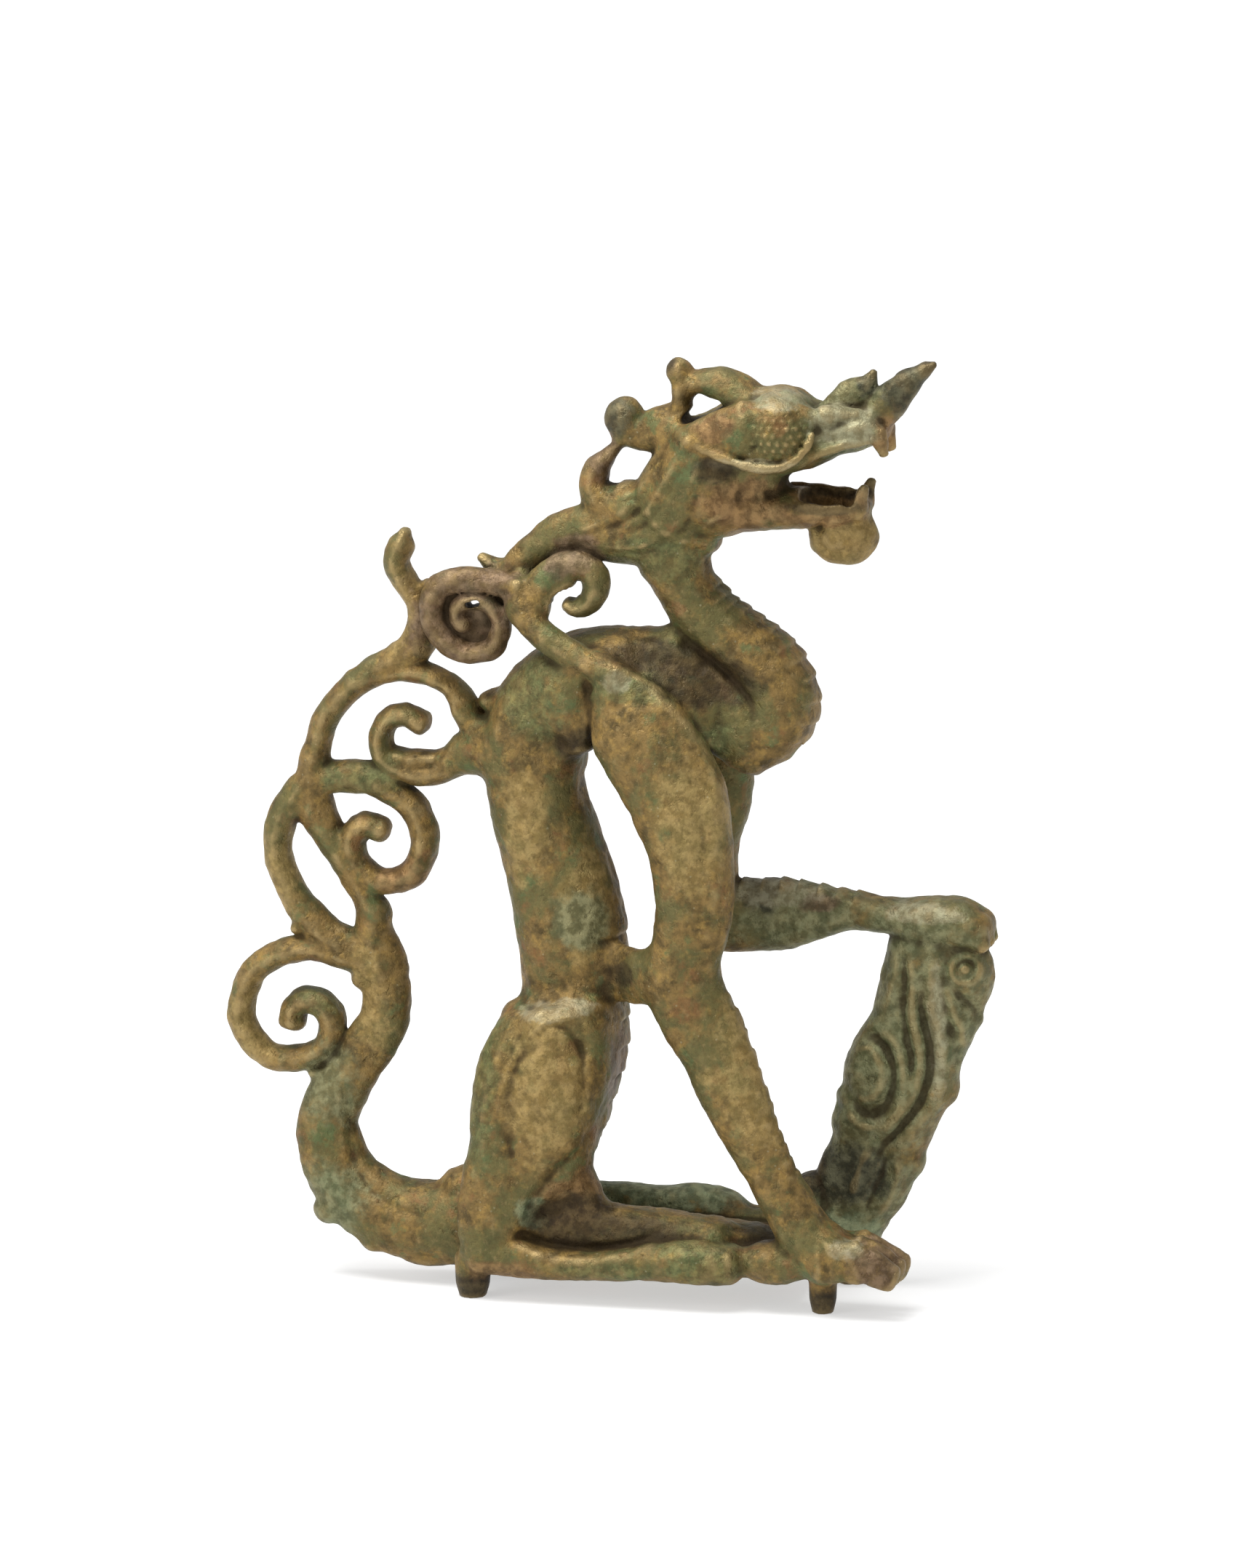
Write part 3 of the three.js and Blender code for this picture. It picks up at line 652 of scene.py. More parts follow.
@dataclass(frozen=True)
class Head:
    """The open-mouthed head with its crest, ear curl, mane, eyes, snout, jaw and fangs."""

    eye: Ball = Ball((36.0, -6.2, 183.1), (8.4, 7.4, 7.9), 2.6)
    ring_rows: int = 4  # on either side of the middle one
    ring_gap: float = 1.75
    ring_shift: tuple[float, float] = (1.8, -0.8)
    ring_rise: float = 0.87  # gap between the rows, as a share of the gap between the rings
    ring_patch: tuple[float, float] = (1.4, 0.4)
    ring_reach: tuple[float, float] = (6.6, 4.6)
    ring_radius: float = 0.85
    ring_width: float = 0.42
    ring_depth: float = 0.2
    strands: tuple[Path, ...] = (
        ((17.6, 181.0), (14.8, 175.8), (11.7, 170.3), (7.8, 165.2), (2.4, 161.4)),
        ((21.0, 176.8), (18.6, 171.3), (16.3, 165.8), (13.2, 160.3)),
        ((11.7, 182.6), (9.8, 176.4), (7.5, 171.3), (3.2, 168.4)),
        ((26.4, 173.2), (26.1, 169.3), (24.1, 165.8), (20.5, 162.9)),
        ((8.6, 170.6), (4.4, 166.4), (-1.0, 163.4), (-6.4, 161.2)),
        ((14.2, 163.6), (9.6, 159.8), (4.0, 158.2), (-2.0, 158.6)),
    )
    limbs: tuple[Limb, ...] = (
        limb(  # skull
            (13.2, 0, 155, 7.3, 7.5), (13.2, 0, 161.7, 8.8, 9), (15.4, 0, 168.7, 9.7, 10.5),
            (20, 0, 175, 9.3, 11.3), (27.2, 0, 179.4, 8.8, 11), (34.5, 0, 181.6, 7.2, 10),
        ),
        limb(  # snout
            (36.5, 0, 181.6, 7.2, 9), (42.3, 0, 182.4, 6.6, 8.4), (47.7, 0, 183.5, 5.5, 7.5),
            (53, 0, 184.3, 4.5, 6.8), (55.8, 0, 184.8, 3.6, 5.6),
        ),
        limb(  # lower jaw
            (22, 0, 168, 7, 9), (30, 0, 167.1, 5.2, 8.5), (37, 0, 167.1, 4.2, 8.2), (43, 0, 167.3, 4, 8),
            (49, 0, 167.4, 3.9, 7.4), (52.5, 0, 167.3, 2.9, 6),
        ),
        # corner of the mouth
        limb((26, 0, 172.5, 6, 9), (33.4, 0, 173.4, 4.2, 8.2), (35.0, 0, 173.2, 2.6, 7.4), fillet=3.0),
        limb(  # far rim of the jaw
            (37, 6.6, 169.9, 1.6, 1.4), (42, 6.6, 169.5, 1.4, 1.3), (48, 6.2, 169.2, 1.2, 1.2),
            fillet=0.8,
        ),
        limb(  # long strand of the mane
            (8, 0, 161, 7.4, 8), (0, 0, 161, 6.7, 6.4), (-6.5, 0, 160.5, 5.5, 5),
            (-11.2, 0, 159.3, 4.8, 4.6), (-15, 0, 156.9, 4.1, 4.2), (-18.6, 0, 154.2, 3.6, 4),
            (-21.8, 0, 152.2, 2.7, 3.5), (-24.6, 0, 152.4, 2, 2.8), (-27.4, 0, 154.2, 1, 1.6),
            spine=0.3,
        ),
        limb(  # upper tip of the mane
            (2.4, 0, 179.6, 1, 2.4), (-0.2, 0, 177, 1.8, 3), (-2.7, 0, 173.8, 2.7, 3.6),
            (-3.2, 0, 170, 3.2, 4.4), (-0.8, 0, 166.8, 5.1, 5.4), (4.4, 0, 165.2, 6.6, 7),
            spine=0.35,
        ),
        limb(  # crest's stem
            (14.9, 0, 194.3, 1.9, 3.2), (15.2, 0, 190, 1.8, 3.6), (14.6, 0, 185, 2.6, 4.6),
            (14.8, 0, 179, 4.6, 7),
        ),
        limb(  # crest's arch
            (15.2, 0, 191.2, 2.2, 3.2), (18.8, 0, 192.7, 2.5, 3.8), (22.9, 0, 192.3, 3.4, 4.6),
            (27.3, 0, 190.2, 4.1, 5.6), (31.3, 0, 187.4, 4.1, 7),
            spine=0.3,
        ),
        limb(  # ear's stem
            (2.8, 0, 182, 3.3, 3.8), (7.4, 0, 181.9, 4.1, 4), (11.5, 0, 182.6, 4.9, 5.4),
            (17, 0, 181, 5, 7),
        ),
        limb(  # leaf on the snout
            (45.5, 0, 188.3, 1.8, 2.6), (50.6, 0, 190.8, 3.5, 3), (54, 0, 193.3, 2.6, 2.4),
            (55.3, 0, 195.8, 0.8, 1.2),
            fillet=0.8,
        ),
        limb(  # horn
            (55, 0, 185.6, 3.9, 4.6), (59.4, 0, 190.6, 3.7, 4), (63.2, 0, 194.5, 2.6, 3),
            (66.2, 0, 196.9, 1.6, 2), (68, 0, 197.9, 0.7, 1),
            fillet=0.8,
        ),
    )
    troughs: tuple[Limb, ...] = (
        limb(
            (41, -0.8, 172.2, 1.2, 6), (44, -0.8, 170.2, 4.2, 6.6), (50.2, -0.8, 169.9, 3.7, 5.4),
            fillet=0.5,
        ),
        limb(
            (42, -6.5, 173.2, 1.2, 5), (45, -6.5, 172.6, 3.0, 5), (50.4, -6.5, 172.4, 2.8, 4.4),
            fillet=0.6,
        ),
    )
    crest_hole: Limb = limb(
        (16.4, 0, 185.2, 1.0, 9), (19.6, 0, 187.2, 2.0, 9), (23.4, 0, 188.6, 0.9, 9),
        fillet=0.3, square=2.0,
    )
    cheek_curl: Scroll = Scroll((23.5, 0, 170.5), 250, 1, (5.0, 4.8, 4.6, 4.2, 3.6, 3.0, 2.4, 1.8))
    beard_curl: Scroll = Scroll((49.2, 0, 161.6), 60, 1, (5.4, 5.2, 4.8, 4.2, 3.6, 3.0, 2.2, 1.4))
    paired: tuple[Limb, ...] = (
        # the upper and the lower fang
        limb((56.8, -FANG_SIDE, 183.6, 2.4, 2), (58.2, -FANG_SIDE, 179.6, 1.1, 1), fillet=0.8),
        limb((52.6, -FANG_SIDE, 168.2, 2.3, 1.6), (54.2, -FANG_SIDE, 172.4, 0.9, 0.8), fillet=0.8),
        limb(  # temple
            (18, -7, 181, 3.4, 3.4), (24, -8, 182.6, 5.0, 4), (30, -8, 183.6, 6.8, 5),
            fillet=1.6, square=2.0,
        ),
        limb(  # eyelid
            (18.5, -10.0, 181.9, 1.1, 1.1), (22.5, -11.2, 180.3, 1.1, 1.1), (27, -12, 178.6, 1.1, 1.1),
            (31.7, -12.5, 177.4, 1.1, 1.1), (35.9, -12.5, 177.1, 1.1, 1.1), (40.2, -11.8, 178.2, 1.1, 1.1),
            (42.8, -10.8, 180.8, 1.1, 1.1), (44.2, -9.8, 183.4, 0.9, 0.9), (45.0, -8.6, 185.4, 0.5, 0.5),
            fillet=0.6, square=2.0,
        ),
        limb(  # ridge beside the snout leaf
            (43.6, -6, 186.6, 2.2, 2.4), (47.6, -6, 187.6, 2.4, 2.6), (52.6, -5, 187.6, 1.2, 1.8),
            fillet=2.2, square=2.0,
        ),
        limb(  # nostril
            (48.4, -5.8, 183.8, 0.9, 1.6), (52.4, -5.4, 185, 1.8, 2.2), (56.2, -4.2, 185.4, 1.2, 1.8),
            fillet=1.8, square=2.0,
        ),
        limb(  # upper lip
            (41.8, -8.6, 178.3, 1.1, 1.1), (46, -8, 180.2, 1.1, 1.2), (51, -7, 181.7, 1.1, 1.2),
            (57, -5.2, 182.9, 1, 1),
            fillet=1.6, square=2.0,
        ),
    )
    balls: tuple[Ball, ...] = (
        Ball((22, 0, 169), (9.4, 10.6, 9.2)),  # cheeks
        Ball((14.5, 0, 194.9), (2.6, 3.6, 2.6), 0.8),  # crest bulb
        Ball((2.9, 0, 184.7), (4.3, 4.4, 4.5), 0.8),  # ear curl
        Ball((49.2, 0, 161.5), (7.2, 6, 6.3), 1.2),  # beard
        Ball((35.6, -1, 184.3), (7.8, 9.5, 8.5), 1.6),  # brow
    )

    def cast(self, solid: SolidField) -> None:
        """Casts the head into the solid.

        Args:
            solid: The solid.
        """
        solid.add(*self.limbs, *self.balls, self.eye, self.eye.mirrored())
        for limb in self.paired:
            solid.add(limb, limb.mirrored())

    def carve(self, solid: SolidField) -> None:
        """Opens the jaw's trough and the crest, and draws the eye, the cheek, the mane and the beard.

        Args:
            solid: The solid.
        """
        solid.cut(*self.troughs)
        self.dot_eyes(solid)
        solid.cut(self.crest_hole)
        both = Face.BOTH
        solid.draw(
            Line(self.cheek_curl.path(), 0.3, 0.8, both, 3.0),
            Line(((21.5, 178.0), (25.0, 176.0), (29.0, 174.6)), -0.5, 1.5, both, 5.0),
            Line(((43.4, 190.4), (44.8, 187.6), (45.0, 183.6)), -0.6, 0.9, both, 3.0),
            Line(((47.4, 184.8), (50.4, 186.4), (54.0, 186.6)), -0.3, 0.8, both, 3.0),
        )
        for strand in self.strands:
            beside = tuple((x + 2.0, z - 0.8) for x, z in strand)
            solid.draw(Line(strand, 0.35, 0.8, both, 4.0), Line(beside, -0.28, 0.7, both, 4.0))
        solid.draw(
            Line(self.beard_curl.path(), -0.6, 0.9, both, 1.0),
            Line(((40.7, 174.7), (38.3, 173.0), (35.8, 170.7), (34.2, 167.9)), -0.25, 0.9, both, 3.0),
            Line(((57.4, 186.2), (58.2, 186.4)), -0.5, 1.0, both, 1.0, 0.0),
            Line(((9.0, 167.5), (12.0, 163.5), (17.0, 160.6), (23.0, 159.8)), 0.45, 0.9, both, 3.0),
        )

    def dot_eyes(self, solid: SolidField) -> None:
        """Covers the middle of both eyes with rows of small ringed dots.

        Args:
            solid: The solid.
        """
        (x, y, z), (long, deep, tall) = self.eye.at, self.eye.half
        numbers = range(-self.ring_rows, self.ring_rows + 1)
        for row in numbers:
            for column in numbers:
                right = (column + 0.5 * (row % 2)) * self.ring_gap + self.ring_shift[0]
                up = row * self.ring_gap * self.ring_rise + self.ring_shift[1]
                aside = (right - self.ring_patch[0]) / self.ring_reach[0]
                above = (up - self.ring_patch[1]) / self.ring_reach[1]
                if aside**2 + above**2 > 0.9:
                    continue
                bulge = math.sqrt(max(1 - (right / long) ** 2 - (up / tall) ** 2, 0))
                for side in (1, -1):
                    at = (x + right, side * (y - deep * bulge), z + up)
                    solid.ring(at, self.ring_radius, self.ring_width, self.ring_depth)


@dataclass(frozen=True)
class Legs:
    """The shoulders, the forelegs with their paws, the hind feet and the pegs under the feet."""

    limbs: tuple[Limb, ...] = (
        limb(  # near shoulder and upper foreleg
            (2.5, -10, 129.5, 5.5, 4.2), (8.4, -12, 121, 10.6, 6), (16.8, -13, 106.5, 9.9, 6.6),
            (20.2, -13.5, 94, 8.5, 6.5), (20.3, -13.5, 83.5, 8, 6.2), (18.6, -13.5, 74, 7.3, 6),
            fillet=0.9,
        ),
        limb(  # near lower foreleg
            (18.6, -13.5, 76, 6.3, 6), (19, -13.5, 66, 8.2, 6), (24.3, -13.5, 56, 7.7, 5.8),
            (29.1, -13.8, 45.5, 7, 5.4), (32.8, -14, 37, 5.8, 5), (36.7, -14, 29.4, 5.2, 5),
            (41, -14, 22, 5.3, 5.4), (45, -14, 15.5, 5.7, 6.4), (49.5, -14, 12, 6.2, 8),
            plates=Plates(0.16, 0.7, 12, Edge.DOWNWARD_FRONT, 0.4),
        ),
        limb(  # bridge from the elbow to the belly
            (14, -13, 70, 5.8, 4.5), (8, -10.5, 69, 5.8, 4), (3, -6.5, 68.8, 6, 3.6),
            (-3, -3, 69, 6, 3.6),
            fillet=2.6,
        ),
        limb(  # far shoulder and upper foreleg
            (7, 9, 124, 6.5, 4.5), (13, 11, 118.5, 8.6, 6), (18.9, 12, 108, 8.6, 6.5),
            (17.6, 12, 94, 7.3, 6.2), (17.6, 12, 81, 6.8, 6),
        ),
        limb(  # raised forearm and paw
            (17, 12, 77.8, 7, 6), (24, 12.5, 78, 7.9, 6), (33.3, 13, 78.5, 7.7, 6),
            (41.8, 13, 79.5, 5.8, 5.4), (49.6, 13, 79.8, 3.8, 5), (56.6, 13, 79.1, 3.6, 5.6),
            (64, 13, 78.5, 4.9, 7.6), (71, 13, 78.3, 5.3, 8), (75.2, 13, 77.1, 4.4, 7),
            plates=Plates(0.03, 0.55, 9, Edge.DOWNWARD_FRONT, 0.6),
        ),
        limb(  # near hind foot
            (-24, -14, 10, 5, 6), (-12.5, -14.5, 8.8, 3.9, 5.6), (0, -15, 8.6, 3.5, 5.6),
            (11, -15, 9.4, 4.1, 5.8), (20, -15, 10, 4.7, 6.5), (28, -15, 9.6, 4.2, 6),
            fillet=0.8,
        ),
        limb(  # far hind foot and the cloud's base
            (-23, 14, 11, 5.6, 6), (-9.5, 14, 12.7, 5.9, 5.6), (6, 14, 13.4, 5.8, 5.8),
            (19, 14, 13.5, 5.7, 5.8), (27.5, 14, 11.2, 4.3, 6), (40, 14, 12.5, 6.2, 6.5),
            (50, 14, 12, 6, 6.5),
        ),
    )
    heel: Ball = Ball((38, -14, 10), (8, 6, 4.6), 2.0)
    armpit: Path = ((-1.6, 131.0), (-3.6, 126.6), (-4.4, 121.4), (-3.9, 115.6))
    near_toe: Limb = limb(
        (49, -FOOT_SIDE, 12.2, 4.6, 3), (57, -FOOT_SIDE - 0.5, 11.8, 4.4, 2.8),
        (63.7, -FOOT_SIDE - 0.5, 9.3, 3.1, 1.8),
        fillet=0.5,
    )
    raised_toe: Limb = limb(
        (70, 13, 78.6, 3, 2.6), (75.2, 13, 77.8, 2.6, 2.2), (77.4, 13, 74.4, 1.5, 1.4),
        fillet=0.5,
    )
    toe_spread: float = 5.0
    pegs: tuple[tuple[float, float], ...] = ((-26.5, 3.8), (48.0, 3.0))  # x and radius
    peg_rows: tuple[tuple[float, float], ...] = ((0.5, 0.76), (3.0, 0.94), (8.0, 1.0))  # z, share of it

    def cast(self, solid: SolidField) -> None:
        """Casts the legs into the solid.

        Args:
            solid: The solid.
        """
        solid.add(*self.limbs)
        for toe in (self.near_toe, self.raised_toe):
            for aside in (-self.toe_spread, 0.0, self.toe_spread):
                moved = tuple((x, y + aside, z, high, wide) for x, y, z, high, wide in toe.stations)
                solid.add(replace(toe, stations=moved))
        solid.add(self.heel)

    def carve(self, solid: SolidField) -> None:
        """Draws the shoulder's rim, the armpit, the foot's groove and the toes on the solid.

        Args:
            solid: The solid.
        """
        rim = (
            (-4.4, 135.1), (-1.4, 134.9), (4.9, 134.2), (10.6, 131.2), (15.2, 127.4), (20.2, 122.4),
            (24.2, 116.4), (26.2, 110.6), (26.6, 103.0), (26.6, 96.0), (26.2, 88.0), (25.4, 80.0),
        )
        inner_rim = tuple((x - 3.4, z - 2.6) for x, z in rim[2:])
        foot = (
            (-17.7, 15.4), (-14.3, 13.6), (-10.3, 12.1), (-3.3, 11.4), (2.4, 12.2), (8.4, 13.5),
            (14.6, 16.6),
        )
        sole = tuple((x + 0.6, z - 2.2) for x, z in foot[:-1])
        solid.draw(
            Line(rim, 0.7, 1.8, Face.NEAR, 6.0),
            Line(self.armpit, -0.5, 1.3, Face.NEAR, 4.0),
            Line(inner_rim, -0.35, 1.2, Face.NEAR, 8.0),
            Line(foot, -0.6, 0.8, Face.NEAR, 12.0),
            Line(sole, 0.25, 0.9, Face.NEAR, 14.0),
        )
        for x, z in ((49.5, 12.6), (53.6, 11.6), (57.6, 10.4)):
            knuckle = ((x - 1.6, z + 4.2), (x + 0.6, z), (x - 0.2, z - 4.6))
            solid.draw(Line(knuckle, -0.45, 0.8, Face.NEAR, 12.0))

    def add_pegs(self, solid: SolidField) -> None:
        """Casts the four round pegs and levels their undersides.

        Args:
            solid: The solid.
        """
        for x, radius in self.pegs:
            for side in (-FOOT_SIDE, FOOT_SIDE):
                rows = tuple((x, side, z, radius * share, radius * share) for z, share in self.peg_rows)
                solid.add(Limb(rows, 0.8, 2.0))
        solid.values = np.maximum(solid.values, -solid.axes[2][None, None, :])


@dataclass(frozen=True)
class Tail:
    """The openwork tail that rises behind the back in three scrolls and a flame tip."""

    root: Limb = limb(
        (-20, 0, 14.4, 10, 10), (-28, 0, 13, 9.6, 9), (-37.5, 0, 12.2, 8.6, 8), (-47.8, 0, 13.8, 8.2, 7),
        (-55.6, 0, 18.8, 7.8, 5.6), (-59.5, 0, 25.8, 7, 4.8), (-60.7, 0, 33, 6.3, 4.3),
        (-57.4, 0, 40.7, 5.9, 4), (-52.7, 0, 48, 5.6, 4), (-48.5, 0, 55, 5.2, 4),
        (-47.7, 0, 61.2, 5.1, 4), (-48.8, 0, 67.3, 5, 4), (-50.6, 0, 73.4, 4.3, 4),
        (-50.9, 0, 78.7, 3.2, 4),
        spine=0.35,
    )
    stems: tuple[Limb, ...] = (
        limb(  # stem that ends in the flame tip
            (-50, 0, 77.5, 3.2, 4), (-54.9, 0, 86.2, 3.2, 4), (-59.9, 0, 93.8, 3.4, 4),
            (-63.3, 0, 100, 4.3, 4), (-63.8, 0, 107, 3.4, 4), (-62.5, 0, 113.2, 2.9, 4),
            (-60.8, 0, 119, 2.8, 4), (-57.3, 0, 123.6, 2.9, 4), (-51.7, 0, 128.4, 3, 4),
            (-45.8, 0, 131.7, 3.2, 4), (-41.4, 0, 135, 3.8, 4), (-40.2, 0, 139.5, 3.3, 4),
            (-40.8, 0, 144.3, 2.7, 4), (-43.6, 0, 148.3, 2.4, 4), (-45.6, 0, 152.4, 2.6, 4),
            (-44.6, 0, 156.4, 2.9, 3.4), (-43.8, 0, 158.6, 1.5, 2.6),
            fillet=1.0, square=2.1, spine=0.35,
        ),
        limb(  # outer leaf
            (-65.8, 0, 103.4, 3.8, 4), (-70.1, 0, 97.4, 3.4, 4), (-71.2, 0, 91, 2.9, 4),
            (-69.3, 0, 84.2, 2.9, 4), (-65.4, 0, 77.6, 3.7, 4), (-59.6, 0, 72, 4.1, 4),
            (-52.6, 0, 69.6, 4.2, 4),
            fillet=1.0, square=2.1, spine=0.35,
        ),
        limb(  # cross bar
            (-63.8, 0, 106.3, 3.4, 4), (-54.5, 0, 106.6, 3.4, 4), (-47, 0, 106.2, 3.8, 4),
            fillet=1.0, square=2.1,
        ),
        # ties to the back and a bar in the upper scroll
        limb((-34.4, 0, 110.8, 3.0, 4), (-29, 0, 113.2, 5.4, 6), (-20, 0, 114.5, 7, 9), fillet=1.6),
        limb((-45.6, 0, 111.4, 1.8, 3.6), (-41, 0, 110.8, 2, 3.6), (-37.2, 0, 111.4, 1.4, 3.6), fillet=1.0),
        limb((-33.8, 0, 126, 1.6, 4), (-29.8, 0, 119.6, 2.6, 5), (-24, 0, 115.4, 6.2, 8), fillet=1.6),
    )
    steps: tuple[Ball, ...] = (
        # the root's steps, then the small points on the bands
        Ball((-59.9, 0, 14.1), (4, 4.6, 3.4), 0.8),
        Ball((-50.6, 0, 7.8), (3, 5, 2.4), 0.8),
        Ball((-38.5, 0, 5.4), (6, 6, 2.4), 0.8),
        Ball((-68.8, 0, 101.8), (1.4, 3.4, 1.4), 2.0),
        Ball((-67, 0, 74), (1.4, 3.4, 1.4), 2.0),
        Ball((-63.4, 0, 43.4), (1.4, 3.4, 1.2), 2.0),
        Ball((-25.4, 0, 124), (2.6, 4, 2.2), 2.0),
        Ball((-38.6, 0, 148), (1.6, 3, 1.3), 1.6),
        Ball((-53.8, 0, 64.4), (1.4, 3.4, 2.4), 2.0),
    )
    scrolls: tuple[Scroll, ...] = (
        Scroll(  # upper
            (-43.4, 0, 115.7), 135, -1, (15.7, 13.9, 14.5, 14.6, 10.3, 7.4, 6.6, 5.7, 5.1, 4.6, 4.3),
            half=2.4, tip=2.6,
        ),
        # middle
        Scroll((-49.1, 0, 93.6), 90, -1, (11.8, 10.1, 9.3, 9.7, 9, 7.4, 6.2, 4.2, 2.3), half=3.0, tip=2.8),
        Scroll(  # lower
            (-65.4, 0, 54.3), 45, 1, (18.5, 15.4, 14.9, 13.7, 11.1, 7.8, 6.7, 5.8, 5, 4.1, 3.3, 2.7),
            half=2.8, tip=2.9,
        ),
    )

    def cast(self, solid: SolidField) -> None:
        """Casts the tail into the solid."""
        bands = (Limb(scroll.stations(), 0.9, 2.1, spine=0.35) for scroll in self.scrolls)
        solid.add(self.root, *self.steps, *self.stems, *bands)

    def carve(self, solid: SolidField) -> None:
        """Draws the step line of the root on the solid."""
        step = ((-56.1, 42.6), (-55.8, 34.9), (-54.9, 27.2), (-51.5, 20.6), (-45.3, 16.6), (-37.0, 14.6))
        solid.draw(Line(step, -0.6, 0.9, Face.BOTH, 1.0))


@dataclass(frozen=True)
class Ribbon:
    """The band that leaves the near shoulder and forks into a full spiral and an open curl."""

    band: Limb = limb(
        (10, -12, 126.5, 4.4, 2.2), (4, -12, 131.2, 3.8, 2.8), (-3, -11, 134.6, 3.3, 3.2),
        (-8.8, -10, 137.5, 3, 3.2), (-13.5, -8.5, 140.8, 3, 3.2), (-17, -7, 144.8, 3.8, 3.2),
        (-18, -5.5, 149, 3.6, 3.2),
        fillet=1.8, square=2.0, spine=0.35,
    )
    curl: Limb = limb(
        (-15.4, -7, 144.8, 4.1, 3), (-13.2, -6, 149.4, 4.1, 3), (-10, -5.5, 152, 4.1, 3),
        (-6.5, -5, 154, 3.4, 3), (-3.1, -5, 152.9, 3, 3), (-2.1, -5, 149.6, 3, 3),
        (-3.5, -5, 146.5, 2.6, 3), (-6.3, -5, 145.2, 2.3, 3), (-8, -5, 145.7, 1.6, 2.6),
        fillet=0.6, square=2.0, spine=0.3,
    )
    spiral: Scroll = Scroll(
        (-29.2, -4.5, 141.8), 45, 1, (10.8, 8.2, 9.2, 7.7, 6.6, 6.9, 7.5, 6.8, 5.2, 3.9, 3, 2.2),
        half=2.9, tip=1.8, wide=3,
    )
    backing: tuple[Ball, ...] = (
        Ball((-28.9, -4, 142.6), (8, 1.2, 7.6), 0.4),
        Ball((-30.6, -5, 141.2), (1.9, 2.8, 1.9), 0.4),
    )
    gap: Limb = limb((-28.9, -4, 145.3, 0.7, 6), (-26.9, -4, 145.6, 0.7, 6), fillet=0.3, square=2.0)
    ties: tuple[Limb, ...] = (
        limb((-19, -4, 150, 2.4, 4), (-17, 0, 153, 2.4, 4), fillet=0.6),
        limb((-35.6, -3, 143, 2.2, 3), (-40, -0.5, 143, 2.2, 3), fillet=0.6),
    )

    def cast(self, solid: SolidField) -> None:
        """Casts the ribbon into the solid."""
        spiral = Limb(self.spiral.stations(), 0.4, 2.0, spine=0.25)
        solid.add(spiral, *self.backing, self.band, self.curl, *self.ties)

    def carve(self, solid: SolidField) -> None:
        """Opens the small gap in the full spiral."""
        solid.cut(self.gap)


